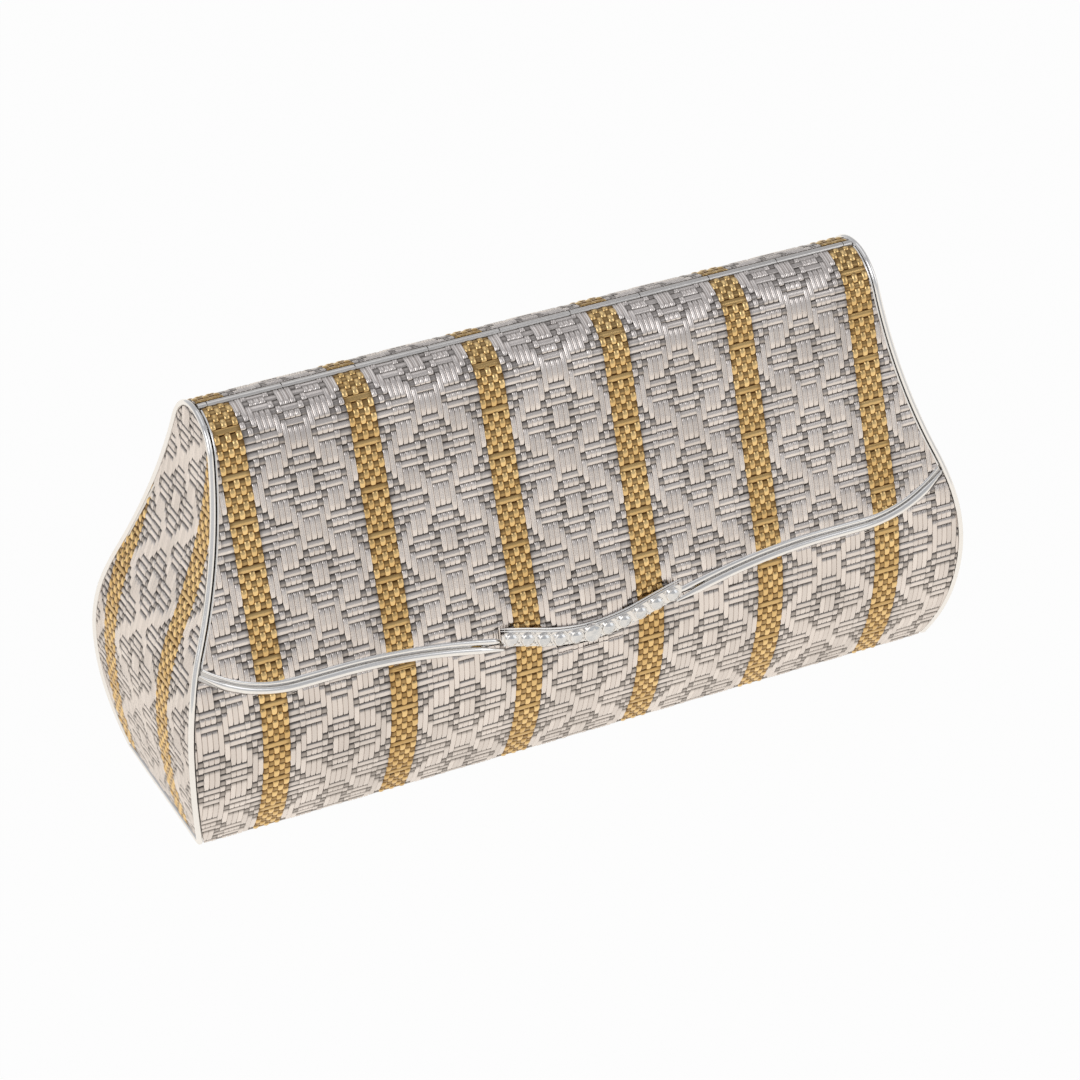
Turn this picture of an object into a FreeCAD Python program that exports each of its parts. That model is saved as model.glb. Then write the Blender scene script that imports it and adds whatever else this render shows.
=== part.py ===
import FreeCAD, Part
import math
import os
import Sketcher

# A woven evening-bag case. X runs along its length, -Y is the front, +Z is up.
# The origin is the middle of the flat base.

# Driving sizes in millimetres. Names ending in share or count are plain numbers.
SIZES = {
    "height": 90.0,
    "half_depth": 26.1,
    "belly_height": 26.0,
    "belly_radius": 48.0,
    "crest_radius": 10.0,
    "half_length": 87.1,
    "end_low_radius": 93.0,
    "end_up_radius": 55.0,
    "end_flare_radius": 120.0,
    "flare_rise": 5.0,
    "weave_thick": 1.2,
    "layer_gap": 0.1,
    "liner_thick": 0.7,
    "lid_liner_thick": 0.5,
    "frame_wire_radius": 0.75,
    "frame_wire_depth": 0.5,
    "frame_foot_radius": 1.2,
    "rim_wire_radius": 0.55,
    "rim_wire_gap": 0.05,
    "rim_wire_depth": 0.3,
    "lid_gap": 0.4,
    "rim_dip_height": 27.2,
    "rim_side_height": 36.0,
    "rim_dip_radius": 40.0,
    "rim_swell_radius": 136.0,
    "rim_corner_radius": 9.0,
    "corner_reach_share": 0.94,
    "shoulder_width": 0.25,
    "rim_tip_share": 0.97,
    "hinge_radius": 0.8,
    "hinge_pin_radius": 0.4,
    "hinge_pin_clear": 0.03,
    "hinge_axis_drop": 0.6,
    "hinge_edge_gap": 0.35,
    "hinge_leaf_gap": 0.8,
    "hinge_neck_width": 0.8,
    "hinge_neck_height": 1.0,
    "hinge_leaf_drop": 12.0,
    "knuckle_gap": 0.2,
    "knuckle_count": 9.0,
    "lip_thick": 0.7,
    "lip_below": 5.0,
    "lip_above": 2.5,
    "lip_half_length": 66.0,
    "lip_notch_half": 13.0,
    "lip_notch_drop": 2.0,
    "strike_height": 7.0,
    "strike_thick": 0.7,
    "strike_rivet_radius": 0.6,
    "strike_rivet_head": 0.4,
    "thumb_half": 20.6,
    "thumb_height": 4.4,
    "thumb_thick": 1.6,
    "thumb_stand_off": 0.5,
    "stone_pitch": 3.64,
    "stone_radius": 1.5,
    "stone_count": 11.0,
    "stone_table_share": 0.58,
    "stone_crown_share": 0.3,
    "stone_pavilion_share": 0.56,
    "stone_culet_share": 0.1,
    "stone_clear": 0.05,
    "stone_seat_depth": 1.0,
    "latch_travel": 1.8,
    "latch_hook": 1.5,
    "bridge_half": 5.0,
    "bridge_height": 1.4,
    "bridge_notch_clear": 0.4,
    "slide_gap": 0.3,
    "slide_thick": 1.0,
    "slide_half": 8.0,
    "slide_rise": 6.8,
    "tongue_half": 6.0,
    "latch_rivet_radius": 0.45,
    "latch_rivet_spread": 3.2,
    "latch_rivet_in_setting": 0.35,
    "latch_rivet_in_bridge": 2.0,
    "rivet_clear": 0.02,
    "guide_width": 3.0,
    "guide_height": 8.0,
    "guide_lap": 1.0,
    "guide_lap_thick": 0.9,
    "spring_room": 4.0,
    "spring_thick": 0.3,
    "spring_width": 0.8,
    "spring_half": 6.5,
    "spring_end_gap": 0.05,
    "stop_height": 1.2,
    "cover_thick": 0.6,
    "cover_margin": 1.5,
    "screw_radius": 0.45,
    "screw_head_radius": 0.95,
    "screw_head_height": 0.45,
    "screw_depth": 1.6,
    "screw_edge": 1.5,
    "mirror_half_length": 48.0,
    "mirror_low_share": 0.188,
    "mirror_top_share": 0.09,
    "mirror_thick": 1.2,
    "bezel_width": 2.0,
    "bezel_lap": 1.0,
    "bezel_lap_thick": 0.6,
    "bezel_clear": 0.1,
    "trim_margin": 12.0,
}

doc = FreeCAD.newDocument("Minaudiere")
sheet = doc.addObject("Spreadsheet::Sheet", "Sizes")
for row, size_name in enumerate(SIZES, start=1):
    sheet.set("A%d" % row, str(SIZES[size_name]))
    sheet.setAlias("A%d" % row, size_name)
sections = []
doc.recompute()


class Size:
    """A number with the sheet expression that gives it, so that both stay in step."""

    def __init__(self, value, text):
        self.value = value
        self.text = text

    def __add__(self, other):
        other = as_size(other)
        return Size(self.value + other.value, "(%s + %s)" % (self.text, other.text))

    def __radd__(self, other):
        return as_size(other) + self

    def __sub__(self, other):
        other = as_size(other)
        return Size(self.value - other.value, "(%s - %s)" % (self.text, other.text))

    def __rsub__(self, other):
        return as_size(other) - self

    def __mul__(self, other):
        other = as_size(other)
        return Size(self.value * other.value, "(%s * %s)" % (self.text, other.text))

    def __rmul__(self, other):
        return as_size(other) * self

    def __truediv__(self, other):
        other = as_size(other)
        return Size(self.value / other.value, "(%s / %s)" % (self.text, other.text))

    def __neg__(self):
        return Size(-self.value, "(0 - %s)" % self.text)


def as_size(number):
    if isinstance(number, Size):
        return number
    return Size(float(number), "%r" % float(number))


def root(size):
    return Size(math.sqrt(size.value), "sqrt(%s)" % size.text)


def smaller(first, second):
    return Size(min(first.value, second.value), "min(%s; %s)" % (first.text, second.text))


def cell(name):
    return Size(float(sheet.get(name)), "Sizes.%s" % name)


def open_section(name):
    """Start a set of worked-out sizes for one group of pieces."""
    sections.append(doc.addObject("App::VarSet", name))


def derive(name, size):
    """Keep a worked-out size as a named value of the document."""
    section = sections[-1]
    section.addProperty("App::PropertyFloat", name)
    section.setExpression(name, size.text)
    return Size(size.value, "%s.%s" % (section.Name, name))


open_section("ShellSizes")
height = cell("height")
half_depth = cell("half_depth")
belly_z = cell("belly_height")
belly_radius = cell("belly_radius")
crest_radius = cell("crest_radius")
half_length = cell("half_length")
low_radius = cell("end_low_radius")
up_radius = cell("end_up_radius")
flare_radius = cell("end_flare_radius")
weave = cell("weave_thick")
gap = cell("layer_gap")
lid_gap = cell("lid_gap")
margin = cell("trim_margin")
none = as_size(0)

# Depths of the layers below the outer surface.
liner_out = derive("liner_out", weave + gap)
liner_in = derive("liner_in", liner_out + cell("liner_thick"))
lid_liner_in = derive("lid_liner_in", liner_out + cell("lid_liner_thick"))

# Side profile: belly arc, straight flank and crest arc, each tangent to the next.
belly_y = derive("belly_y", half_depth - belly_radius)
crest_z = derive("crest_z", height - crest_radius)
flank_rise = crest_z - belly_z
flank_square = belly_y * belly_y + flank_rise * flank_rise
radius_step = belly_radius - crest_radius
flank_root = derive("flank_root", root(flank_square - radius_step * radius_step))
flank_y = derive("flank_y", (flank_root * flank_rise - radius_step * belly_y) / flank_square)
flank_z = derive("flank_z", (radius_step * flank_rise + flank_root * belly_y) / flank_square)


def belly_point(depth, z):
    reach = belly_radius - depth
    return belly_y + root(reach * reach - (z - belly_z) * (z - belly_z)), z


def flank_low(depth):
    reach = belly_radius - depth
    return belly_y + reach * flank_y, belly_z + reach * flank_z


def flank_high(depth):
    reach = crest_radius - depth
    return reach * flank_y, crest_z + reach * flank_z


def flank_point(depth, z):
    low_y, low_z = flank_low(depth)
    return low_y - (z - low_z) * flank_z / flank_y, z


def crest_point(depth, y):
    reach = crest_radius - depth
    return y, crest_z + root(reach * reach - y * y)


# Front outline: two belly arcs that meet upright, then a hollow flare to the top.
up_x = derive("up_x", half_length - up_radius)
flare_z = derive("flare_z", height + cell("flare_rise"))
flare_rise = flare_z - belly_z
flare_reach = up_radius + flare_radius
flare_run = derive("flare_run", root(flare_reach * flare_reach - flare_rise * flare_rise))
flare_x = derive("flare_x", up_x + flare_run)


def end_low(depth, z):
    reach = low_radius - depth
    return half_length - low_radius + root(reach * reach - (belly_z - z) * (belly_z - z)), z


def end_up(depth, z):
    reach = up_radius - depth
    return up_x + root(reach * reach - (z - belly_z) * (z - belly_z)), z


def end_join(depth):
    share = (up_radius - depth) / flare_reach
    return up_x + share * flare_run, belly_z + share * flare_rise


def end_flare(depth, z):
    reach = flare_radius + depth
    return flare_x - root(reach * reach - (flare_z - z) * (flare_z - z)), z


# The lid rim in front view: a dip in the middle, a swell to each side and round corners.
dip_z = cell("rim_dip_height")
side_z = cell("rim_side_height")
dip_radius = cell("rim_dip_radius")
swell_radius = cell("rim_swell_radius")
corner_radius = cell("rim_corner_radius")
swell_reach = dip_radius + swell_radius
swell_fall = derive("swell_fall", swell_reach - (side_z - dip_z))
swell_x = derive("swell_x", root(swell_reach * swell_reach - swell_fall * swell_fall))
dip_centre = derive("dip_centre", dip_z + dip_radius)
swell_centre = derive("swell_centre", side_z - swell_radius)
corner_z = derive("corner_z", side_z + corner_radius)


def rim_turn(rise):
    """Where the dip arc of the rim, raised by rise, meets the swell arc."""
    share = (dip_radius - rise) / swell_reach
    return share * swell_x, dip_centre - share * swell_fall


def rim_swell(rise, x):
    reach = swell_radius + rise
    return x, swell_centre + root(reach * reach - (swell_x - x) * (swell_x - x))


def rim_corner(depth, rise):
    """Centre and side touching point of the lid's round corner, and whether that is on the flare."""
    round_off = corner_radius - rise
    reach = up_radius - depth
    step = reach - round_off
    lift = corner_z - belly_z
    run = root(step * step - lift * lift)
    touch_z = belly_z + reach / step * lift
    if touch_z.value <= end_join(depth)[1].value:
        return up_x + run, (up_x + reach / step * run, touch_z), False
    reach = flare_radius + depth
    step = reach + round_off
    lift = flare_z - corner_z
    run = root(step * step - lift * lift)
    return flare_x - run, (flare_x - reach / step * run, flare_z - reach / step * lift), True


wire_radius = cell("rim_wire_radius")
frame_radius = cell("frame_wire_radius")
frame_depth = cell("frame_wire_depth")
frame_in = derive("frame_in", frame_depth + frame_radius)
panel_inset = derive("panel_inset", frame_in + gap)
lid_wire_inset = derive("lid_wire_inset", frame_in + lid_gap + wire_radius)
lid_inset = derive("lid_inset", lid_wire_inset + wire_radius + gap)
low_wire_rise = wire_radius
high_wire_rise = derive("high_wire_rise", 3 * wire_radius + cell("rim_wire_gap"))
lid_weave_rise = derive("lid_weave_rise", high_wire_rise + wire_radius + gap)
corner_x = derive("corner_x", rim_corner(lid_wire_inset, high_wire_rise)[0])


def arc_between(start, stop, radius, turn):
    """The short arc from start to stop; turn is 1 anticlockwise, -1 clockwise."""
    chord = stop - start
    half = chord.Length / 2
    across = FreeCAD.Vector(-chord.y, chord.x, 0).normalize()
    sink = math.sqrt(max(radius * radius - half * half, 0))
    centre = start + chord / 2 + across * (sink * turn)
    first, last = (start, stop) if turn > 0 else (stop, start)
    low = math.atan2(first.y - centre.y, first.x - centre.x)
    high = math.atan2(last.y - centre.y, last.x - centre.x)
    if high < low:
        high += 2 * math.pi
    return Part.ArcOfCircle(Part.Circle(centre, FreeCAD.Vector(0, 0, 1), radius), low, high)


def hold_point(held, geometry, point, x, y):
    """Constraints that hold a point of a sketch at sizes x and y from the sketch origin."""
    for kind, axis, size in (("DistanceX", -2, x), ("DistanceY", -1, y)):
        if size is none:
            held.append((Sketcher.Constraint("PointOnObject", geometry, point, axis), None))
        else:
            held.append((Sketcher.Constraint(kind, -1, 1, geometry, point, size.value), size))


def add_held(sketch, held):
    """Add constraints together and tie each sized one to its expression."""
    first = sketch.ConstraintCount
    sketch.addConstraint([constraint for constraint, _ in held])
    for index, (_, size) in enumerate(held):
        if size is not None:
            sketch.setExpression("Constraints[%d]" % (first + index), size.text)


def add_loop(sketch, loop):
    """A closed loop of corners (x, y, bend); bend is None or (radius, turn) to the next corner."""
    ends = []
    shapes = []
    held = []
    first_geometry = sketch.GeometryCount
    for index, (x, y, bend) in enumerate(loop):
        next_x, next_y, _ = loop[(index + 1) % len(loop)]
        start = FreeCAD.Vector(x.value, y.value, 0)
        stop = FreeCAD.Vector(next_x.value, next_y.value, 0)
        geometry = first_geometry + index
        if bend is None:
            shapes.append(Part.LineSegment(start, stop))
            ends.append((geometry, 1, 2))
            continue
        radius, turn = bend
        shapes.append(arc_between(start, stop, radius.value, turn))
        ends.append((geometry, 1, 2) if turn > 0 else (geometry, 2, 1))
        held.append((Sketcher.Constraint("Radius", geometry, radius.value), radius))
    for index, (geometry, first, last) in enumerate(ends):
        after, after_first, _ = ends[(index + 1) % len(ends)]
        held.append((Sketcher.Constraint("Coincident", geometry, last, after, after_first), None))
        hold_point(held, geometry, first, loop[index][0], loop[index][1])
    sketch.addGeometry(shapes, False)
    add_held(sketch, held)


def add_circle(sketch, x, y, radius):
    centre = FreeCAD.Vector(x.value, y.value, 0)
    circle = sketch.addGeometry(Part.Circle(centre, FreeCAD.Vector(0, 0, 1), radius.value), False)
    held = [(Sketcher.Constraint("Radius", circle, radius.value), radius)]
    hold_point(held, circle, 3, x, y)
    add_held(sketch, held)


def draw(body, plane, loops=(), circles=(), shift=None):
    """A sketch on one of the body's own planes, moved along the plane's normal by shift."""
    origin = {feature.Role: feature for feature in body.Origin.OriginFeatures}
    sketch = body.newObject("Sketcher::SketchObject", body.Label + "_sketch")
    sketch.AttachmentSupport = [(origin[plane], "")]
    sketch.MapMode = "FlatFace"
    if shift is not None:
        sketch.setExpression("AttachmentOffset.Base.z", shift.text)
    for loop in loops:
        add_loop(sketch, loop)
    for x, y, radius in circles:
        add_circle(sketch, x, y, radius)
    doc.recompute()
    return sketch


def new_body(label):
    body = doc.addObject("PartDesign::Body", label)
    body.Label = label
    return body


def pad(body, sketch, length, both=True):
    feature = body.newObject("PartDesign::Pad", body.Label + "_pad")
    feature.Profile = sketch
    feature.SideType = "Symmetric" if both else "One side"
    feature.setExpression("Length", length.text)
    doc.recompute()
    return feature


def pocket(body, sketch, length=None, both=True, flip=False):
    """Cut a sketch out of the body, through everything when no length is given."""
    before = body.Shape.Volume
    feature = body.newObject("PartDesign::Pocket", body.Label + "_pocket")
    feature.Profile = sketch
    feature.SideType = "Symmetric" if both else "One side"
    feature.Reversed = flip
    if length is None:
        feature.Type = "ThroughAll"
    else:
        feature.setExpression("Length", length.text)
    doc.recompute()
    if body.Shape.Volume >= before:
        raise RuntimeError("a cut of %s removed nothing" % body.Label)
    return feature


def mirrored(path):
    """The same run of corners on the other side of the upright axis."""
    return [(-x, y, None if bend is None else (bend[0], -bend[1])) for x, y, bend in path]


def reversed_path(path):
    """A run of corners walked backwards; the last corner of the run has no bend of its own."""
    bends = [corner[2] for corner in path[:-1]]
    corners = []
    for index in range(len(path) - 1, -1, -1):
        bend = bends[index - 1] if index > 0 else None
        if bend is not None:
            bend = (bend[0], -bend[1])
        corners.append((path[index][0], path[index][1], bend))
    return corners


def side_path(depth, low, high=None, crest=None):
    """The side profile from height low up to height high on the flank or to crest, a Y on the crest arc."""
    path = []
    if low.value < flank_low(depth)[1].value:
        path.append((*belly_point(depth, low), (belly_radius - depth, 1)))
        path.append((*flank_low(depth), None))
    else:
        path.append((*flank_point(depth, low), None))
    if high is not None:
        path.append((*flank_point(depth, high), None))
        return path
    path.append((*flank_high(depth), (crest_radius - depth, 1)))
    path.append((*crest_point(depth, crest), None))
    return path


def side_band(outer, inner, low, high=None, crest=None):
    """A closed strip of wall between two depths of the side profile, on the back side."""
    up = side_path(outer, low, high, crest)
    down = reversed_path(side_path(inner, low, high, crest))
    return up + down


def side_outline(depth, low):
    """The whole side profile at one depth, closed at height low."""
    up = side_path(depth, low, crest=none)[:-1]
    last = mirrored(up)
    down = reversed_path(last)
    up[-1] = (up[-1][0], up[-1][1], (crest_radius - depth, 1))
    return up + down


def end_path(depth, low, high):
    """The end outline at X > 0 from height low to height high."""
    path = [(*end_low(depth, low), (low_radius - depth, 1))]
    path.append((half_length - depth, belly_z, (up_radius - depth, 1)))
    path.append((*end_join(depth), (flare_radius + depth, -1)))
    path.append((*end_flare(depth, high), None))
    return path


def full_outline(depth, low, high):
    right = end_path(depth, low, high)
    return right + reversed_path(mirrored(right))


def lid_half(depth, rise, high):
    """Half of the lid outline, from the top of its side round the corner to the middle of the rim."""
    centre_x, touch, on_flare = rim_corner(depth, rise)
    path = [(*end_flare(depth, high), (flare_radius + depth, 1))]
    if not on_flare:
        path.append((*end_join(depth), (up_radius - depth, -1)))
    path.append((*touch, (corner_radius - rise, -1)))
    path.append((centre_x, side_z + rise, None))
    path.append((swell_x, side_z + rise, (swell_radius + rise, 1)))
    path.append((*rim_turn(rise), (dip_radius - rise, -1)))
    return path


def lid_outline(depth, rise, high, notch=None):
    right = lid_half(depth, rise, high)
    if notch is None:
        left = reversed_path(mirrored(right))
        return right + [(left[0][0], left[0][1], left[0][2])] + left[1:]
    half, top = notch
    edge_z = dip_centre - root((dip_radius - rise) * (dip_radius - rise) - half * half)
    right = right + [(half, edge_z, None), (half, top, None)]
    return right + reversed_path(mirrored(right))


def front_outline(depth, fall, low):
    """The lower front panel: below the rim by fall, with its ends carried up beside the lid corners."""
    reach = corner_radius + fall
    side_room = end_up(depth, corner_z)[0] - cell("shoulder_width") - corner_x
    shoulder_run = smaller(side_room, reach * cell("corner_reach_share"))
    shoulder_x = corner_x + shoulder_run
    shoulder_z = corner_z - root(reach * reach - shoulder_run * shoulder_run)
    right = [(*end_low(depth, low), (low_radius - depth, 1))]
    right.append((half_length - depth, belly_z, (up_radius - depth, 1)))
    right.append((*end_up(depth, shoulder_z), None))
    right.append((shoulder_x, shoulder_z, (reach, -1)))
    right.append((corner_x, side_z - fall, None))
    right.append((swell_x, side_z - fall, (swell_radius - fall, 1)))
    right.append((*rim_turn(-fall), (dip_radius + fall, -1)))
    return right + reversed_path(mirrored(right))


def box_loop(left, right, low, high):
    return [(left, low, None), (right, low, None), (right, high, None), (left, high, None)]


def trim_front(body, outline):
    """Cut away all that lies outside an outline in front view."""
    reach = half_length + margin
    frame = box_loop(-reach, reach, -margin, height + 2 * margin)
    pocket(body, draw(body, "XZ_Plane", [frame, outline]))


def trim_side(body, outline):
    """Cut away all that lies outside an outline in side view."""
    reach = half_depth + margin
    frame = box_loop(-reach, reach, -margin, height + 2 * margin)
    pocket(body, draw(body, "YZ_Plane", [frame, outline]))


def wall(label, section, outline):
    """A curved sheet: its section run along the length, trimmed to an outline in front view."""
    body = new_body(label)
    pad(body, draw(body, "YZ_Plane", [section]), 2 * (half_length + margin))
    trim_front(body, outline)
    return body


hinge_radius = cell("hinge_radius")
hinge_z = derive("hinge_z", height - cell("hinge_axis_drop"))
hinge_edge = derive("hinge_edge", hinge_radius + cell("hinge_edge_gap"))
leaf_low = derive("leaf_low", height - cell("hinge_leaf_drop"))
panel_top = height + margin
panel_low = -gap
lid_low = derive("lid_low", dip_z - wire_radius)
bridge_low = derive("bridge_low", dip_z)
bridge_high = derive("bridge_high", bridge_low + cell("bridge_height"))
bridge_notch = (cell("bridge_half") + lid_gap,
                bridge_high + cell("latch_travel") + cell("bridge_notch_clear"))

nodes = []

# Woven outer panels.
back_weave = wall("back_weave", side_band(none, weave, none, crest=hinge_edge),
                  full_outline(panel_inset, panel_low, panel_top))
front_weave = wall("front_weave", mirrored(side_band(none, weave, none, high=corner_z)),
                   front_outline(panel_inset, lid_gap, panel_low))
lid_weave = wall("lid_weave", mirrored(side_band(none, weave, lid_low, crest=hinge_edge)),
                 lid_outline(lid_inset, lid_weave_rise, panel_top, bridge_notch))
nodes += [back_weave, front_weave, lid_weave]

# Lining sheets behind the woven panels.
back_liner = wall("back_liner", side_band(liner_out, liner_in, liner_out, high=leaf_low - gap),
                  full_outline(liner_in + gap, panel_low, panel_top))
front_liner = wall("front_liner", mirrored(side_band(liner_out, liner_in, liner_out, high=corner_z)),
                   front_outline(liner_in + gap, lid_gap, panel_low))
lid_liner = wall("lid_liner", mirrored(side_band(liner_out, lid_liner_in, lid_low, high=leaf_low - gap)),
                 lid_outline(lid_inset, cell("rim_wire_depth"), panel_top, bridge_notch))
nodes += [back_liner, front_liner, lid_liner]


def end_plate(label, outer, inner, low, inset, side):
    """A curved end sheet between two depths, trimmed to the side profile at an inset."""
    right = end_path(outer, low, height) + reversed_path(end_path(inner, low, height))
    body = new_body(label)
    section = right if side > 0 else mirrored(right)
    pad(body, draw(body, "XZ_Plane", [section]), 2 * (half_depth + margin))
    trim_side(body, side_outline(inset, panel_low))
    return body


open_section("EndSizes")
end_foot = derive("end_foot", 2 * frame_radius + gap)
for name, side in (("left", -1), ("right", 1)):
    nodes.append(end_plate(name + "_end_weave", none, weave, end_foot, panel_inset, side))
    nodes.append(end_plate(name + "_end_liner", liner_out, liner_in, liner_out, liner_out, side))


def plate_box(label, half_x, half_y, low, thick):
    box = doc.addObject("Part::Box", label)
    box.Label = label
    box.setExpression("Length", (2 * half_x).text)
    box.setExpression("Width", (2 * half_y).text)
    box.setExpression("Height", thick.text)
    box.setExpression("Placement.Base.x", (-half_x).text)
    box.setExpression("Placement.Base.y", (-half_y).text)
    box.setExpression("Placement.Base.z", low.text)
    return box


nodes.append(plate_box("base_weave", end_low(panel_inset, none)[0],
                       belly_point(liner_out, none)[0], none, weave))
nodes.append(plate_box("base_liner", end_low(liner_in + gap, liner_out)[0],
                       belly_point(liner_in + gap, liner_out)[0], liner_out, cell("liner_thick")))

# Crest hinge: a leaf with knuckles on each side and one pin.
open_section("HingeSizes")
hinge_half = derive("hinge_half", end_flare(liner_in + lid_gap, height)[0])
knuckle_pitch = derive("knuckle_pitch", 2 * hinge_half / cell("knuckle_count"))
neck_low = derive("neck_low", crest_z + crest_radius - liner_in + gap)


def hinge_leaf(label, side, first):
    """A hinge leaf whose knuckles take every second place, from place first."""
    body = new_body(label)
    band = side_band(liner_out, liner_in, leaf_low, crest=cell("hinge_leaf_gap"))
    section = band if side > 0 else mirrored(band)
    pad(body, draw(body, "YZ_Plane", [section]), 2 * hinge_half)
    start = -hinge_half + first * knuckle_pitch + cell("knuckle_gap") / 2
    length = knuckle_pitch - cell("knuckle_gap")
    neck_far = cell("hinge_leaf_gap") + cell("hinge_edge_gap") - gap
    neck = box_loop(neck_far - cell("hinge_neck_width"), neck_far, neck_low,
                    neck_low + cell("hinge_neck_height"))
    neck = neck if side > 0 else mirrored(neck)
    neck_pad = pad(body, draw(body, "YZ_Plane", [neck], shift=start), length, both=False)
    ring = draw(body, "YZ_Plane", circles=[(none, hinge_z, hinge_radius)], shift=start)
    ring_pad = pad(body, ring, length, both=False)
    count = int(round(cell("knuckle_count").value)) // 2 + (1 - first)
    pattern = body.newObject("PartDesign::LinearPattern", label + "_row")
    pattern.Originals = [neck_pad, ring_pad]
    axis = {feature.Role: feature for feature in body.Origin.OriginFeatures}["X_Axis"]
    pattern.Direction = (axis, [""])
    pattern.setExpression("Length", (2 * (count - 1) * knuckle_pitch).text)
    pattern.Occurrences = count
    body.Tip = pattern
    doc.recompute()
    bore = cell("hinge_pin_radius") + cell("hinge_pin_clear")
    pocket(body, draw(body, "YZ_Plane", circles=[(none, hinge_z, bore)]))
    return body


nodes.append(hinge_leaf("case_hinge_leaf", 1, 0))
nodes.append(hinge_leaf("lid_hinge_leaf", -1, 1))
hinge_pin = new_body("hinge_pin")
pad(hinge_pin, draw(hinge_pin, "YZ_Plane", circles=[(none, hinge_z, cell("hinge_pin_radius"))]),
    2 * hinge_half)
nodes.append(hinge_pin)

# Mouth lip behind the rim, low in the middle where the catch hooks over it.
open_section("LipSizes")
lip_out = derive("lip_out", liner_in + gap)
lip_in = derive("lip_in", lip_out + cell("lip_thick"))
lip_half = cell("lip_half_length")
lip_above = cell("lip_above")
lip_below = cell("lip_below")
notch_half = cell("lip_notch_half")
notch_z = derive("notch_z", dip_z - cell("lip_notch_drop"))
lip_right = [(notch_half, notch_z, None)]
lip_right.append((*rim_swell(lip_above, notch_half), (swell_radius + lip_above, -1)))
lip_right.append((swell_x, side_z + lip_above, None))
lip_right.append((lip_half, side_z + lip_above, None))
lip_right.append((lip_half, side_z - lip_below, None))
lip_right.append((swell_x, side_z - lip_below, (swell_radius - lip_below, 1)))
lip_right.append((*rim_turn(-lip_below), (dip_radius + lip_below, -1)))
lip_loop = lip_right + reversed_path(mirrored(lip_right))
mouth_lip = wall("mouth_lip", mirrored(side_band(lip_out, lip_in, none, high=corner_z)), lip_loop)
nodes.append(mouth_lip)

# Flat pieces of the catch stand at set distances behind the widest part of the front.
open_section("StrikeSizes")
strike_front = derive("strike_front", gap - belly_point(lip_in, dip_z - lip_below)[0])
strike_back = derive("strike_back", strike_front + cell("strike_thick"))
strike_low = derive("strike_low", notch_z - cell("strike_height"))
rivet_z = (notch_z + strike_low) / 2 + cell("lip_notch_drop")
rivet_radius = cell("strike_rivet_radius")
rivet_spread = derive("rivet_spread", cell("tongue_half") + cell("slide_gap") + 2 * rivet_radius)
strike_half = derive("strike_half", rivet_spread + 2 * rivet_radius + cell("slide_gap"))


def front_slab(label, loops, front, back, circles=()):
    """A flat piece between two Y planes, from a front-view sketch."""
    body = new_body(label)
    pad(body, draw(body, "XZ_Plane", loops, circles, shift=-back), back - front, both=False)
    return body


strike_plate = front_slab("strike_plate", [box_loop(-strike_half, strike_half, strike_low, notch_z)], strike_front, strike_back)
bore = rivet_radius + cell("rivet_clear")
rivet_holes = [(-rivet_spread, rivet_z, bore), (rivet_spread, rivet_z, bore)]
pocket(strike_plate, draw(strike_plate, "XZ_Plane", circles=rivet_holes))
pocket(mouth_lip, draw(mouth_lip, "XZ_Plane", circles=rivet_holes))
nodes.append(strike_plate)


def rod(label, x, z, radius, front, back):
    """A round rod along Y."""
    cylinder = doc.addObject("Part::Cylinder", label)
    cylinder.setExpression("Radius", radius.text)
    cylinder.setExpression("Height", (back - front).text)
    cylinder.setExpression("Placement.Base.x", x.text)
    cylinder.setExpression("Placement.Base.y", front.text)
    cylinder.setExpression("Placement.Base.z", z.text)
    cylinder.Placement.Rotation = FreeCAD.Rotation(FreeCAD.Vector(1, 0, 0), -90)
    return cylinder


def fused(label, pieces):
    fuse = doc.addObject("Part::MultiFuse", label)
    fuse.Shapes = pieces
    return fuse


def group(label, pieces):
    """Identical pieces kept as separate solids of one node."""
    compound = doc.addObject("Part::Compound", label)
    compound.Label = label
    compound.Links = pieces
    return compound


def rivet(label, x):
    shank = rod(label + "_shank", x, rivet_z, rivet_radius, strike_front - cell("lip_thick"), strike_back)
    head = rod(label + "_head", x, rivet_z, 2 * rivet_radius, strike_back,
               strike_back + cell("strike_rivet_head"))
    return fused(label, [shank, head])


nodes.append(group("strike_rivets", [rivet("strike_rivet_left", -rivet_spread),
                                     rivet("strike_rivet_right", rivet_spread)]))

# Thumbpiece: a curved setting that follows the dip of the rim, with a row of stones.
open_section("ThumbSizes")
thumb_half = cell("thumb_half")
thumb_top = cell("thumb_height")
thumb_back = derive("thumb_back", -half_depth - cell("thumb_stand_off"))
thumb_front = derive("thumb_front", thumb_back - cell("thumb_thick"))
thumb_right = [(*rim_turn(none), (swell_radius, -1))]
thumb_right.append((*rim_swell(none, thumb_half), None))
thumb_right.append((*rim_swell(thumb_top, thumb_half), (swell_radius + thumb_top, 1)))
thumb_right.append((*rim_turn(thumb_top), (dip_radius - thumb_top, -1)))
thumb_left = reversed_path(mirrored(thumb_right))
thumb_left[-1] = (thumb_left[-1][0], thumb_left[-1][1], (dip_radius, 1))
setting = front_slab("thumbpiece_setting", [thumb_right + thumb_left], thumb_front, thumb_back)
stone_radius = cell("stone_radius")
stone_row = []
stone_half_count = int(round(cell("stone_count").value)) // 2
for place_index in range(-stone_half_count, stone_half_count + 1):
    stone_x = place_index * cell("stone_pitch")
    mid_rise = thumb_top / 2
    if abs(stone_x.value) <= rim_turn(mid_rise)[0].value:
        reach = dip_radius - mid_rise
        stone_z = dip_centre - root(reach * reach - stone_x * stone_x)
    else:
        stone_z = rim_swell(mid_rise, stone_x if place_index > 0 else -stone_x)[1]
    stone_row.append((stone_x, stone_z))
seats = [(x, z, stone_radius + cell("stone_clear")) for x, z in stone_row]
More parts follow.
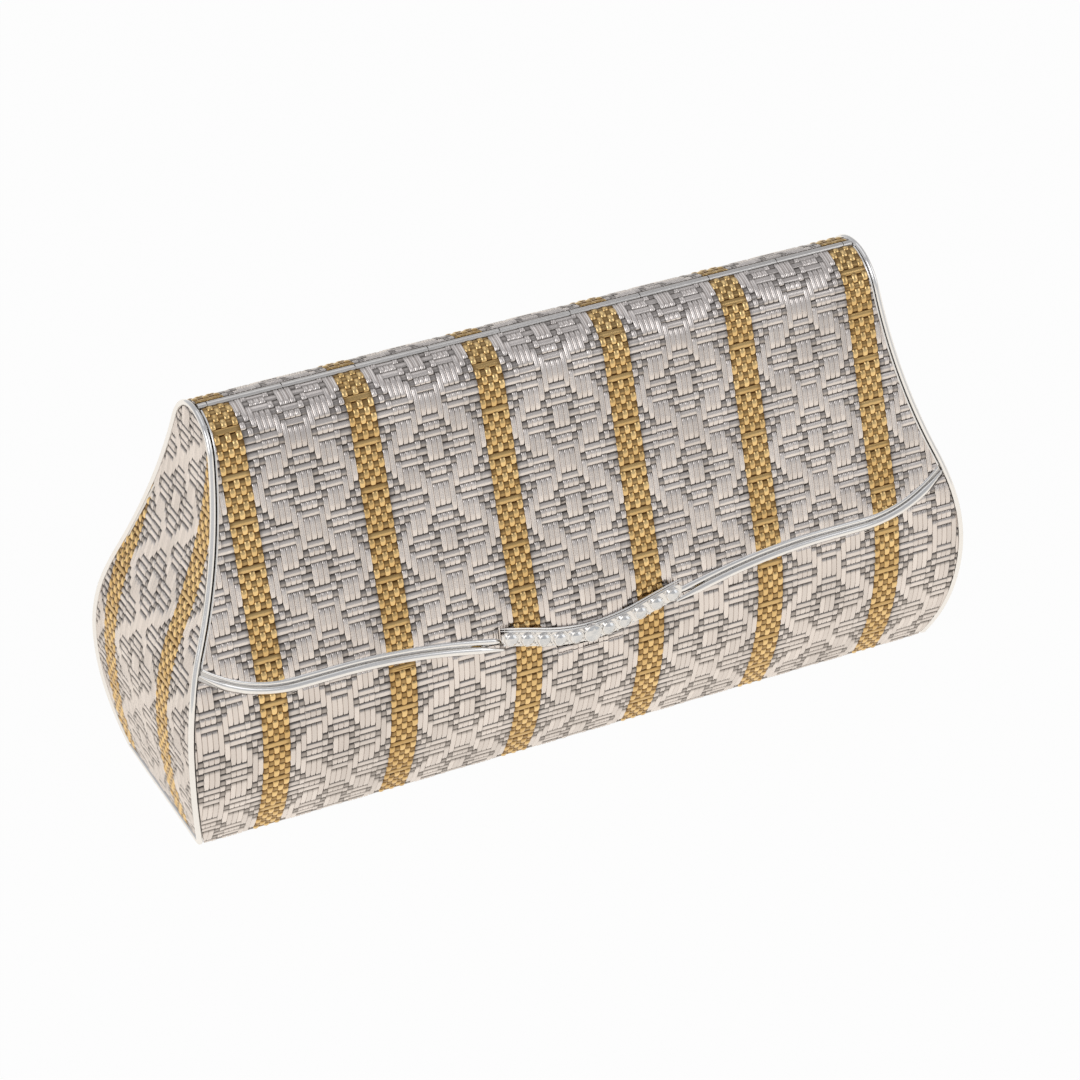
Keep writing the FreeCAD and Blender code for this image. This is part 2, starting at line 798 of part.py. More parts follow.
pocket(setting, draw(setting, "XZ_Plane", circles=seats, shift=-thumb_front),
       cell("stone_seat_depth"), both=False)
latch_spread = cell("latch_rivet_spread")
latch_radius = cell("latch_rivet_radius")
latch_z = derive("latch_z", (bridge_low + bridge_high) / 2)
latch_bore = latch_radius + cell("rivet_clear")
latch_holes = [(-latch_spread, latch_z, latch_bore), (latch_spread, latch_z, latch_bore)]
pocket(setting, draw(setting, "XZ_Plane", circles=latch_holes, shift=-thumb_back),
       cell("latch_rivet_in_setting"), both=False, flip=True)
nodes.append(setting)


def stone(label, x, z):
    """A round stone whose table faces the front, standing on the girdle plane of its seat."""
    girdle = thumb_front + gap
    crown = doc.addObject("Part::Cone", label + "_crown")
    pavilion = doc.addObject("Part::Cone", label + "_pavilion")
    crown.setExpression("Radius1", (stone_radius * cell("stone_table_share")).text)
    crown.setExpression("Radius2", stone_radius.text)
    crown.setExpression("Height", (stone_radius * cell("stone_crown_share")).text)
    pavilion.setExpression("Radius1", stone_radius.text)
    pavilion.setExpression("Radius2", (stone_radius * cell("stone_culet_share")).text)
    pavilion.setExpression("Height", (stone_radius * cell("stone_pavilion_share")).text)
    starts = ((crown, girdle - stone_radius * cell("stone_crown_share")), (pavilion, girdle))
    for cone, start in starts:
        cone.setExpression("Placement.Base.x", x.text)
        cone.setExpression("Placement.Base.y", start.text)
        cone.setExpression("Placement.Base.z", z.text)
        cone.Placement.Rotation = FreeCAD.Rotation(FreeCAD.Vector(1, 0, 0), -90)
    return fused(label, [crown, pavilion])


stones = [stone("stone_%d" % (number + 1), x, z) for number, (x, z) in enumerate(stone_row)]
nodes.append(group("thumbpiece_stones", stones))

# Latch slide: a bridge under the lid edge, a plate inside the lid and a tongue behind the lip.
open_section("SlideSizes")
slide_front = derive("slide_front", strike_back + cell("slide_gap"))
slide_back = derive("slide_back", slide_front + cell("slide_thick"))
slide_half = cell("slide_half")
slide_top = derive("slide_top", dip_z + cell("slide_rise"))
tongue_tip = derive("tongue_tip", notch_z - cell("latch_hook"))
tongue_half = cell("tongue_half")
bridge_half = cell("bridge_half")
slide_right = [(tongue_half, tongue_tip, None), (tongue_half, bridge_low, None)]
slide_right += [(slide_half, bridge_low, None), (slide_half, slide_top, None)]
latch_slide = front_slab("latch_slide", [slide_right + reversed_path(mirrored(slide_right))],
                         slide_front, slide_back)
bridge_sketch = draw(latch_slide, "XZ_Plane",
                     [box_loop(-bridge_half, bridge_half, bridge_low, bridge_high)], shift=-slide_front)
pad(latch_slide, bridge_sketch, slide_front - thumb_back, both=False)
pocket(latch_slide, draw(latch_slide, "XZ_Plane", circles=latch_holes, shift=-thumb_back),
       cell("latch_rivet_in_bridge"), both=False)
nodes.append(latch_slide)
latch_rivets = []
for name, x in (("left", -latch_spread), ("right", latch_spread)):
    latch_rivets.append(rod("latch_rivet_" + name, x, latch_z, latch_radius,
                            thumb_back - cell("latch_rivet_in_setting"),
                            thumb_back + cell("latch_rivet_in_bridge")))
nodes.append(group("latch_rivets", latch_rivets))

# Guides, spring stop, spring and cover that hold the slide inside the lid.
open_section("GuideSizes")
guide_in = derive("guide_in", slide_half + cell("slide_gap"))
guide_out = derive("guide_out", guide_in + cell("guide_width"))
guide_low = derive("guide_low", bridge_high + cell("bridge_notch_clear"))
guide_high = derive("guide_high", guide_low + cell("guide_height"))
lap_front = derive("lap_front", slide_back + cell("slide_gap"))
guide_back = derive("guide_back", lap_front + cell("guide_lap_thick"))
stop_low = derive("stop_low", slide_top + cell("spring_room"))
stop_high = derive("stop_high", stop_low + cell("stop_height"))
seat_depth = derive("seat_depth", lid_liner_in + gap)
screw_x = derive("screw_x", guide_out - cell("screw_edge"))
screw_low = derive("screw_low", guide_low + cell("screw_edge"))
screw_high = derive("screw_high", guide_high - cell("screw_edge"))


def seat_on_lid(body):
    """Shape the front of a lid fitting to the inside of the lid lining."""
    trim_side(body, side_outline(seat_depth, panel_low))


def guide(label, side):
    corners = [(guide_in, -half_depth), (guide_out, -half_depth), (guide_out, guide_back)]
    corners += [(guide_in - cell("guide_lap"), guide_back), (guide_in - cell("guide_lap"), lap_front)]
    corners.append((guide_in, lap_front))
    loop = [(x, y, None) for x, y in corners]
    body = new_body(label)
    sketch = draw(body, "XY_Plane", [loop if side > 0 else mirrored(loop)], shift=guide_low)
    pad(body, sketch, guide_high - guide_low, both=False)
    seat_on_lid(body)
    bores = [(side * screw_x, z, cell("screw_radius") + cell("rivet_clear")) for z in (screw_low, screw_high)]
    pocket(body, draw(body, "XZ_Plane", circles=bores, shift=-guide_back),
           cell("screw_depth"), both=False, flip=True)
    return body


nodes.append(guide("latch_guide_left", -1))
nodes.append(guide("latch_guide_right", 1))
spring_stop = front_slab("spring_stop", [box_loop(-guide_in, guide_in, stop_low, stop_high)],
                         -half_depth, guide_back)
seat_on_lid(spring_stop)
nodes.append(spring_stop)

spring_half = cell("spring_half")
spring_thick = cell("spring_thick")
spring_foot = slide_top + cell("spring_end_gap")
spring_crown = stop_low - cell("spring_end_gap")
bow = spring_crown - spring_thick - spring_foot
open_section("SpringSizes")
bow_inner = derive("bow_inner", (spring_half * spring_half + bow * bow) / (2 * bow))
bow_centre = derive("bow_centre", spring_crown - spring_thick - bow_inner)
bow_outer = bow_inner + spring_thick
outer_x = root(bow_outer * bow_outer - (spring_foot - bow_centre) * (spring_foot - bow_centre))
bow_loop = [(outer_x, spring_foot, (bow_outer, 1)), (-outer_x, spring_foot, None)]
bow_loop += [(-spring_half, spring_foot, (bow_inner, -1)), (spring_half, spring_foot, None)]
spring_mid = (slide_front + slide_back) / 2
latch_spring = front_slab("latch_spring", [bow_loop], spring_mid - cell("spring_width") / 2,
                          spring_mid + cell("spring_width") / 2)
nodes.append(latch_spring)

open_section("CoverSizes")
cover_back = derive("cover_back", guide_back + gap + cell("cover_thick"))
cover_half = guide_out + cell("cover_margin")
latch_cover = front_slab("latch_cover", [box_loop(-cover_half, cover_half, guide_low,
                                                  stop_high + cell("cover_margin"))],
                         guide_back + gap, cover_back)
screw_places = [(side * screw_x, z) for side in (-1, 1) for z in (screw_low, screw_high)]
screw_bores = [(x, z, cell("screw_radius") + cell("rivet_clear")) for x, z in screw_places]
pocket(latch_cover, draw(latch_cover, "XZ_Plane", circles=screw_bores))
nodes.append(latch_cover)


def screw(label, x, z):
    shank = rod(label + "_shank", x, z, cell("screw_radius"),
                guide_back - cell("screw_depth") + gap, cover_back)
    head = rod(label + "_head", x, z, cell("screw_head_radius"), cover_back,
               cover_back + cell("screw_head_height"))
    return fused(label, [shank, head])


screws = [screw("cover_screw_%d" % (number + 1), x, z) for number, (x, z) in enumerate(screw_places)]
nodes.append(group("cover_screws", screws))


# Mirror in its bezel, flat against the straight flank of the lid, between the catch and the hinge.
open_section("MirrorSizes")
mirror_foot = derive("mirror_foot", stop_high + cell("cover_margin"))
mirror_room = derive("mirror_room", leaf_low - mirror_foot)
mirror_low = derive("mirror_low", mirror_foot + mirror_room * cell("mirror_low_share"))
mirror_high = derive("mirror_high", leaf_low - mirror_room * cell("mirror_top_share"))
mirror_tall = derive("mirror_tall", (mirror_high - mirror_low) / flank_y)


def flank_frame(rise, depth):
    """A point by its rise along the flank from the mirror's foot and its depth below the surface."""
    start_y, start_z = flank_point(none, mirror_low)
    return -(start_y - rise * flank_z - depth * flank_y), start_z + rise * flank_y - depth * flank_z


def flank_block(low, high, outer, inner):
    corners = [flank_frame(low, outer), flank_frame(high, outer)]
    corners += [flank_frame(high, inner), flank_frame(low, inner)]
    return [(y, z, None) for y, z in corners]


bezel_width = cell("bezel_width")
bezel_clear = cell("bezel_clear")
bezel_lap = cell("bezel_lap")
mirror_half = cell("mirror_half_length")
bezel_out = derive("bezel_out", lid_liner_in + gap)
rebate_in = derive("rebate_in", bezel_out + cell("mirror_thick") + 2 * bezel_clear)
bezel_in = derive("bezel_in", rebate_in + cell("bezel_lap_thick"))
mirror_bezel = new_body("mirror_bezel")
pad(mirror_bezel, draw(mirror_bezel, "YZ_Plane",
                       [flank_block(-bezel_width, mirror_tall + bezel_width, bezel_out, bezel_in)]),
    2 * (mirror_half + bezel_width))
pocket(mirror_bezel, draw(mirror_bezel, "YZ_Plane",
                          [flank_block(-bezel_clear, mirror_tall + bezel_clear, none, rebate_in)]),
       2 * (mirror_half + bezel_clear))
pocket(mirror_bezel, draw(mirror_bezel, "YZ_Plane",
                          [flank_block(bezel_lap, mirror_tall - bezel_lap, none, bezel_in + margin)]),
       2 * (mirror_half - bezel_lap))
nodes.append(mirror_bezel)
mirror_glass = new_body("mirror_glass")
pad(mirror_glass, draw(mirror_glass, "YZ_Plane",
                       [flank_block(none, mirror_tall, bezel_out + bezel_clear, rebate_in - bezel_clear)]),
    2 * mirror_half)
nodes.append(mirror_glass)


# Polished wires: round sections swept along straight runs joined by tangent arcs.
def tangent_path(points, closed=False, reach_limits=None):
    """Edges that round every inner corner of a run of points; the rounds meet in the middle of the runs."""
    count = len(points)
    limits = reach_limits or {}
    rounds = []
    for index in range(count):
        here = points[index]
        if not closed and index in (0, count - 1):
            rounds.append((here, None, here))
            continue
        back = points[index - 1] - here
        ahead = points[(index + 1) % count] - here
        share = 0.49
        reach = min(share * back.Length, share * ahead.Length, limits.get(index, back.Length))
        back.normalize()
        ahead.normalize()
        opening = back.getAngle(ahead)
        middle = (back + ahead).normalize()
        radius = reach * math.tan(opening / 2)
        crown = here + middle * (radius / math.sin(opening / 2) - radius)
        rounds.append((here + back * reach, crown, here + ahead * reach))
    edges = []
    for index, (start, crown, stop) in enumerate(rounds):
        if crown is not None:
            edges.append(Part.Arc(start, crown, stop).toShape())
        if index == count - 1 and not closed:
            break
        edges.append(Part.LineSegment(stop, rounds[(index + 1) % count][0]).toShape())
    return Part.Wire(edges)


def wire_node(label, points, radius, closed=False, reach_limits=None):
    path = tangent_path(points, closed, reach_limits)
    first = path.Edges[0]
    start = first.valueAt(first.FirstParameter)
    section = Part.Wire([Part.Circle(start, first.tangentAt(first.FirstParameter), radius).toShape()])
    solid = path.makePipeShell([section], True, False)
    if not solid.Solids:
        solid = Part.Solid(solid.Shells[0])
    feature = doc.addObject("Part::Feature", label)
    feature.Label = label
    feature.Shape = solid.Solids[0] if solid.Solids else solid
    nodes.append(feature)


def side_y(depth, z):
    """Half depth of the side profile at a height, as a number."""
    z_size = as_size(z)
    if z < flank_low(as_size(depth))[1].value:
        return belly_point(as_size(depth), z_size)[0].value
    return flank_point(as_size(depth), z_size)[0].value


def end_x(depth, z):
    """Half length of the front outline at a height, as a number."""
    z_size = as_size(z)
    if z < belly_z.value:
        return end_low(as_size(depth), z_size)[0].value
    if z < end_join(as_size(depth))[1].value:
        return end_up(as_size(depth), z_size)[0].value
    return end_flare(as_size(depth), z_size)[0].value


def crest_run(depth, inset, first, last, steps):
    """Points over the crest between two angles from level, at the end outline's inset."""
    run = []
    reach = crest_radius.value - depth
    for step in range(steps + 1):
        angle = first + (last - first) * step / steps
        z = crest_z.value + reach * math.sin(angle)
        run.append((end_x(inset, z), reach * math.cos(angle), z))
    return run


flank_angle = math.asin(flank_z.value)
frame_sink = frame_depth.value
rise_steps = 24
rise_shares = [step / (rise_steps + 1) for step in range(1, rise_steps + 1)]
foot_z = frame_radius.value
front_run = [(end_x(frame_sink, foot_z), side_y(frame_sink, foot_z), foot_z)]
crest_start_z = flank_high(frame_depth)[1].value
for share in rise_shares:
    z = foot_z + share * (crest_start_z - foot_z)
    front_run.append((end_x(frame_sink, z), side_y(frame_sink, z), z))
crest_steps = 16
crest_half = crest_run(frame_sink, frame_sink, flank_angle, math.pi - flank_angle, crest_steps)
loop_points = [(x, -y, z) for x, y, z in front_run]
loop_points += [(x, -y, z) for x, y, z in crest_half]
loop_points += list(reversed(front_run))
foot_limits = {0: cell("frame_foot_radius").value, len(loop_points) - 1: cell("frame_foot_radius").value}
for name, side in (("left", -1), ("right", 1)):
    frame_points = [FreeCAD.Vector(side * x, y, z) for x, y, z in loop_points]
    wire_node(name + "_end_frame", frame_points, frame_radius.value, True, foot_limits)

wire_sink = cell("rim_wire_depth").value
lid_sink = lid_wire_inset.value
edge_steps = 10
hinge_end_y = hinge_edge.value + wire_radius.value
start_angle = math.acos(hinge_end_y / (crest_radius.value - wire_sink))
edge_run = crest_run(wire_sink, lid_sink, start_angle, flank_angle, edge_steps)
corner_mid, touch, _ = rim_corner(lid_wire_inset, high_wire_rise)
touch_z = touch[1].value
high_z = edge_run[-1][2]
fall_steps = 12
fall_shares = [step / (fall_steps + 1) for step in range(1, fall_steps + 1)]
for share in fall_shares:
    z = high_z + (touch_z - high_z) * share
    edge_run.append((end_x(lid_sink, z), side_y(wire_sink, z), z))


def rim_points(rise, first_angle, steps):
    """The rim from its corner to the thumbpiece; first_angle is measured from straight down."""
    run = []
    reach = corner_radius.value - rise
    for step in range(steps + 1):
        angle = first_angle * (1 - step / steps)
        z = corner_z.value - reach * math.cos(angle)
        run.append((corner_mid.value + reach * math.sin(angle), z))
    inner = thumb_half.value + lid_gap.value
    for step in range(steps + 1):
        x = swell_x.value + (inner - swell_x.value) * step / steps
        run.append((x, rim_swell(as_size(rise), as_size(x))[1].value))
    return [(x, side_y(wire_sink, z), z) for x, z in run]


touch_run = touch[0].value - corner_mid.value
touch_angle = math.atan2(touch_run, corner_z.value - touch_z)
rim_steps = 10
high_run = edge_run + rim_points(high_wire_rise.value, touch_angle, rim_steps)
low_run = rim_points(low_wire_rise.value, math.asin(cell("rim_tip_share").value), rim_steps)
for name, side in (("left", -1), ("right", 1)):
    wire_node("lid_edge_wire_" + name, [FreeCAD.Vector(side * x, -y, z) for x, y, z in high_run],
              wire_radius.value)
    wire_node("lower_rim_wire_" + name, [FreeCAD.Vector(side * x, -y, z) for x, y, z in low_run],
              wire_radius.value)

doc.recompute()
problems = []
for item in doc.Objects:
    if "Invalid" in item.State or "Error" in item.State:
        problems.append("%s is %s" % (item.Label, item.State))
for node in nodes:
    if node.Shape.isNull() or not node.Shape.isValid():
        problems.append("%s has no valid shape" % node.Label)
if problems:
    raise RuntimeError("; ".join(problems))
os.makedirs("parts", exist_ok=True)
for node in nodes:
    node.Shape.exportStep("parts/%s.step" % node.Label)
    box = node.Shape.BoundBox
    print("%-22s solids %2d volume %8.1f  x %.1f..%.1f y %.1f..%.1f z %.1f..%.1f" % (
        node.Label, len(node.Shape.Solids), node.Shape.Volume, box.XMin, box.XMax, box.YMin, box.YMax,
        box.ZMin, box.ZMax))
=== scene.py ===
import math

import bmesh
import bpy
import numpy as np
from mathutils import Matrix, Vector


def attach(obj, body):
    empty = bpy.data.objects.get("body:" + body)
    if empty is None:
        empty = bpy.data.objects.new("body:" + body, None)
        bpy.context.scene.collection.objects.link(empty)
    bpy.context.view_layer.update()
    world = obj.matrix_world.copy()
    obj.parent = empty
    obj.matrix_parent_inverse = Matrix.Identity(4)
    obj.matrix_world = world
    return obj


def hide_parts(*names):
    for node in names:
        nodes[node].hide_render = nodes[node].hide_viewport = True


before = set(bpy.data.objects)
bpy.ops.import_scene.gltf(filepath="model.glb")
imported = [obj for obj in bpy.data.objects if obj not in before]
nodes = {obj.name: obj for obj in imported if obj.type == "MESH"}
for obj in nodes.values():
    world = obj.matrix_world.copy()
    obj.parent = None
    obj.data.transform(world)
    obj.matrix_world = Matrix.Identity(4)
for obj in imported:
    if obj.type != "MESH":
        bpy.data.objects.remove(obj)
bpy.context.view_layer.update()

MM = 0.001

# Side profile in millimetres: crest arc, straight flank and belly arc.
HEIGHT = 90.0
HALF_DEPTH = 26.1
BELLY_Z = 26.0
BELLY_RADIUS = 48.0
CREST_RADIUS = 10.0
BELLY_Y = HALF_DEPTH - BELLY_RADIUS
CREST_Z = HEIGHT - CREST_RADIUS
RADIUS_STEP = BELLY_RADIUS - CREST_RADIUS
FLANK_RISE = CREST_Z - BELLY_Z
FLANK_SQUARE = BELLY_Y ** 2 + FLANK_RISE ** 2
FLANK_RUN = math.sqrt(FLANK_SQUARE - RADIUS_STEP ** 2)
FLANK_OUT = (FLANK_RUN * FLANK_RISE - RADIUS_STEP * BELLY_Y) / FLANK_SQUARE
FLANK_UP = (RADIUS_STEP * FLANK_RISE + FLANK_RUN * BELLY_Y) / FLANK_SQUARE
CREST_TURN = math.acos(FLANK_UP)
CREST_RUN = CREST_RADIUS * CREST_TURN
BELLY_RUN = BELLY_RADIUS * (math.acos(-BELLY_Z / BELLY_RADIUS) - CREST_TURN)
SIDE_RUN = CREST_RUN + FLANK_RUN + BELLY_RUN

# Front outline: lower and upper belly arcs, then a hollow flare to the crest.
HALF_LENGTH = 87.1
LOW_RADIUS = 93.0
UP_RADIUS = 55.0
FLARE_RADIUS = 120.0
FLARE_Z = 95.0
UP_X = HALF_LENGTH - UP_RADIUS
FLARE_SHARE = (FLARE_Z - BELLY_Z) / (UP_RADIUS + FLARE_RADIUS)
FLARE_TURN = math.asin(FLARE_SHARE)
FLARE_X = UP_X + (UP_RADIUS + FLARE_RADIUS) * math.cos(FLARE_TURN)
UP_RUN = UP_RADIUS * FLARE_TURN

# The lid's rim in front view.
RIM_DIP_Z = 28.1
RIM_SIDE_Z = 36.9
DIP_RADIUS = 40.0
SWELL_RADIUS = 136.0
CORNER_RADIUS = 31.9
CORNER_X = 63.6
SWELL_FALL = DIP_RADIUS + SWELL_RADIUS - (RIM_SIDE_Z - RIM_DIP_Z)
SWELL_X = math.sqrt((DIP_RADIUS + SWELL_RADIUS) ** 2 - SWELL_FALL ** 2)
CORNER_Z = RIM_SIDE_Z + CORNER_RADIUS

# The lid's rim wire, which rises and swells beside the stones and fades round the corners.
RIM_WIRE_RISE = 1.5
RIM_WIRE_RADIUS = 0.5
RIM_WIRE_END = 20.4
BESIDE_LENGTH = 14.0
BESIDE_RISE = 0.35
BESIDE_SHARE = 0.4
FADE_LENGTH = 19.0
FADE_RISE = 0.3
FADE_SHARE = 0.4

# Layers of the panels.
GROUND_DEPTH = 0.42
GROUND_STEP = 1.35
GROUND_LEAST_STEPS = 6
GROUND_FIT_ROUNDS = 16
SLAB_THICKNESS = 0.2
HEM_WIDTH = 2.2
SIDE_HEM_WIDTH = 0.9
EDGE_MARGIN = 0.15
WEAVE_DEPTH = 1.2

# Edges of the panels: insets from the outline, and rises over the rim with a step up at the stones.
WALL_INSET = 0.45
LID_INSET = 0.85
END_INSET = 1.0
END_SWELL = 0.35
END_FOOT = 0.8
END_TOP_GAP = 0.02
BASE_HALF_LENGTH = 82.0
BASE_HALF_DEPTH = 16.9
HINGE_EDGE = 1.15
HINGE_RUN = CREST_RADIUS * math.asin(HINGE_EDGE / CREST_RADIUS)
STEP_START = 20.0
STEP_END = 31.0
LID_EDGE_LAP = 0.1
LID_GROUND_RISE = 0.15
LID_GROUND_STEP = 1.75
FRONT_FALL = 0.8
FRONT_STEP = 1.85
FRONT_GROUND_RISE = -0.05
FRONT_GROUND_STEP = 1.2
TAB_RISE = 0.55
TAB_CLEAR_RISE = 2.45
TAB_FOOT_GAP = 0.03
TAB_SIDE_GAP = 0.02
TAB_TOP_SPARE = 2.0

# The weave: upright wires over cross wires, with one repeat every twelve rows.
REPEAT_ROWS = 12
REPEAT_WIRES = 24
REPEAT_WIDTH = 27.75
WIRE_PITCH = REPEAT_WIDTH / REPEAT_WIRES
ROW_PITCH = 1.5625
REPEAT_LENGTH = REPEAT_ROWS * ROW_PITCH
EYE_RUN = 40.2
END_EYE_RUN = -24.0
END_STRIPE = -10.0
NOTCH_HALF = 6.5 * WIRE_PITCH
NOTCH_RUN = EYE_RUN + 19.5 * ROW_PITCH
NOTCH_GROUND_GAP = 0.3
LID_NOTCH_HALF = 7.5 * WIRE_PITCH
LID_NOTCH_GROUND_GAP = 1.0

# Rows that each upright wire passes over, as first and last row, by its place from the middle.
SILVER_DRAFT = {
    0: ((-1, 1), (3, 3), (5, 7), (9, 9)),
    1: ((-1, 1), (3, 3), (5, 7), (9, 9)),
    2: ((2, 2), (4, 8), (10, 10)),
    3: ((1, 1), (3, 5), (7, 9), (11, 11)),
    4: ((0, 0), (2, 4), (6, 6), (8, 10)),
    5: ((0, 0), (2, 4), (6, 6), (8, 10)),
    6: ((0, 0), (2, 4), (6, 6), (8, 10)),
    7: ((1, 3), (5, 5), (7, 7), (9, 11)),
    8: ((-2, 2), (4, 4), (8, 8)),
    9: ((-1, 1), (3, 3), (9, 9)),
}
GOLD_DRAFT = {
    10: ((0, 0), (2, 2), (4, 4), (6, 6), (8, 8), (10, 10)),
    11: ((1, 1), (5, 5), (7, 7), (11, 11)),
    12: ((0, 0), (2, 2), (4, 4), (6, 6), (8, 8), (10, 10)),
}


def ease(value, low, high):
    """From 0 at low to 1 at high, with soft ends."""
    share = np.clip((value - low) / (high - low), 0.0, 1.0)
    return share * share * (3 - 2 * share)


def from_middle(across):
    """Distance from the middle of a panel."""
    return np.abs(np.asarray(across, float))


def arc_reach(radius, offset):
    """Half chord of a circle at an offset from its middle."""
    return np.sqrt(np.clip(radius ** 2 - offset ** 2, 0, None))


def side_point(run):
    """Half depth, height and outward direction at a distance down from the middle of the crest."""
    crest = np.clip(run / CREST_RADIUS, 0, CREST_TURN)
    flank = np.clip(run - CREST_RUN, 0, FLANK_RUN)
    belly = CREST_TURN + np.clip((run - CREST_RUN - FLANK_RUN) / BELLY_RADIUS, 0, None)
    turn = np.where(belly > CREST_TURN, belly, crest)
    half = CREST_RADIUS * np.sin(crest) + flank * FLANK_UP
    half = half + BELLY_RADIUS * (np.sin(belly) - math.sin(CREST_TURN))
    high = CREST_Z + CREST_RADIUS * np.cos(crest) - flank * FLANK_OUT
    high = high + BELLY_RADIUS * (np.cos(belly) - math.cos(CREST_TURN))
    return half, high, np.sin(turn), np.cos(turn)


def end_point(run):
    """Half length, height and outward direction at a distance down from the widest point of an end."""
    low = np.clip(run / LOW_RADIUS, 0, None)
    up = np.clip(-run / UP_RADIUS, 0, FLARE_TURN)
    flare = np.clip((-run - UP_RUN) / FLARE_RADIUS, 0, None)
    turn = up - flare - low
    half = HALF_LENGTH - LOW_RADIUS * (1 - np.cos(low)) - UP_RADIUS * (1 - np.cos(up))
    half = half - FLARE_RADIUS * (np.cos(FLARE_TURN - flare) - math.cos(FLARE_TURN))
    high = BELLY_Z - LOW_RADIUS * np.sin(low) + UP_RADIUS * np.sin(up)
    high = high + FLARE_RADIUS * (math.sin(FLARE_TURN) - np.sin(FLARE_TURN - flare))
    return half, high, np.cos(turn), np.sin(turn)


# Runs with their heights, to look a run up by height; an end's runs reach past the crest and the floor.
TABLE_STEPS = 4000
END_TABLE_TOP = -66.0
END_TABLE_FOOT = 26.5
SIDE_TABLE = np.linspace(0, SIDE_RUN, TABLE_STEPS)
SIDE_HEIGHTS = side_point(SIDE_TABLE)[1]
END_TABLE = np.linspace(END_TABLE_TOP, END_TABLE_FOOT, TABLE_STEPS)
END_HEIGHTS = end_point(END_TABLE)[1]


def side_run(high):
    """Distance down from the middle of the crest at a height."""
    return np.interp(-np.asarray(high, float), -SIDE_HEIGHTS, SIDE_TABLE)


def end_run(high):
    """Distance down from the widest point of an end at a height."""
    return np.interp(-np.asarray(high, float), -END_HEIGHTS, END_TABLE)


def end_reach(high, inset):
    """Half length of the front outline at a height, set in by inset."""
    high = np.asarray(high, float)
    join = BELLY_Z + (UP_RADIUS - inset) * math.sin(FLARE_TURN)
    low = arc_reach(LOW_RADIUS - inset, BELLY_Z - high)
    up = arc_reach(UP_RADIUS - inset, high - BELLY_Z)
    flare = arc_reach(FLARE_RADIUS + inset, FLARE_Z - high)
    above = np.where(high < join, UP_X + up, FLARE_X - flare)
    return np.where(high < BELLY_Z, HALF_LENGTH - LOW_RADIUS + low, above)


def side_reach(high, inset):
    """Half depth of the side profile at a height, set in by inset."""
    high = np.asarray(high, float)
    low_y = BELLY_Y + (BELLY_RADIUS - inset) * FLANK_OUT
    low_z = BELLY_Z + (BELLY_RADIUS - inset) * FLANK_UP
    high_z = CREST_Z + (CREST_RADIUS - inset) * FLANK_UP
    belly = BELLY_Y + arc_reach(BELLY_RADIUS - inset, high - BELLY_Z)
    flank = low_y - (high - low_z) * FLANK_UP / FLANK_OUT
    crest = arc_reach(CREST_RADIUS - inset, high - CREST_Z)
    return np.where(high < low_z, belly, np.where(high < high_z, flank, crest))


def rim_height(across, rise):
    """Height of the lid's rim, raised by rise, at a distance from the middle of the front."""
    away = from_middle(across)
    turn = (DIP_RADIUS - rise) / (DIP_RADIUS + SWELL_RADIUS) * SWELL_X
    dip = RIM_DIP_Z + DIP_RADIUS - arc_reach(DIP_RADIUS - rise, away)
    swell = np.sqrt((SWELL_RADIUS + rise) ** 2 - (SWELL_X - np.minimum(away, SWELL_X)) ** 2)
    level = RIM_SIDE_Z - SWELL_RADIUS + swell
    bend = CORNER_Z - arc_reach(CORNER_RADIUS - rise, np.clip(away - CORNER_X, 0, None))
    return np.where(away < turn, dip, np.where(away < CORNER_X, level, bend))


def lay_on_side(points, side):
    """Lay flat points (across, down, out) on the front, side -1, or the back, side 1."""
    half, high, out_y, out_z = side_point(points[:, 1])
    laid = np.empty_like(points)
    laid[:, 0] = side * points[:, 0]
    laid[:, 1] = side * (half + out_y * points[:, 2])
    laid[:, 2] = high + out_z * points[:, 2]
    return laid


def lay_on_end(points, side):
    """Lay flat points on the left end, side -1, or the right end, side 1."""
    half, high, out_x, out_z = end_point(points[:, 1])
    laid = np.empty_like(points)
    out = points[:, 2] + END_SWELL
    laid[:, 0] = side * (half + out_x * out)
    laid[:, 1] = -side * points[:, 0]
    laid[:, 2] = high + out_z * out
    return laid


def lay_on_base(points, side):
    """Lay flat points on the underside; side 1 runs them from the left and the back."""
    laid = np.empty_like(points)
    laid[:, 0] = side * points[:, 0]
    laid[:, 1] = -side * points[:, 1]
    laid[:, 2] = -points[:, 2]
    return laid


class Panel:
    """One woven panel: how flat points are laid on it and where its edges are."""

    def __init__(self, name, body, lay, side, length, width, down_range, first_eye,
                 first_middle=0.0, ground_length=None):
        self.name = name
        self.body = body
        self.lay = lay
        self.side = side
        self.length = length
        self.width = width
        self.down_range = down_range
        self.first_eye = first_eye
        self.first_middle = first_middle
        self.ground_length = ground_length or length

    def place(self, points):
        return self.lay(points, self.side)


def along_rim_wire(across):
    """How near a place is to the stones, and how far round the corner, each from 0 to 1."""
    away = from_middle(across)
    beside = np.exp(-np.clip(away - RIM_WIRE_END, 0, None) / BESIDE_LENGTH)
    return beside, np.clip((away - CORNER_X) / FADE_LENGTH, 0, 1)


def upper_wire_rise(across):
    """Rise of the lid's rim wire over the rim: higher beside the stones, lower towards the corners."""
    beside, corner = along_rim_wire(across)
    return RIM_WIRE_RISE + BESIDE_RISE * beside - FADE_RISE * corner


def upper_wire_share(across):
    """Thickness of the lid's rim wire, as a share of its plain thickness."""
    beside, corner = along_rim_wire(across)
    return 1.0 + BESIDE_SHARE * beside - FADE_SHARE * corner


def over_tab(rise, across, half):
    """Rise of the lid's lower edge, kept clear of the tab that moves up behind the stones."""
    return np.where(from_middle(across) < half, np.maximum(rise, TAB_CLEAR_RISE), rise)


def with_notch(runs, across, half):
    """Edge places with a notch in the middle for the arm of the latch."""
    return np.where(from_middle(across) < half, NOTCH_RUN, runs)


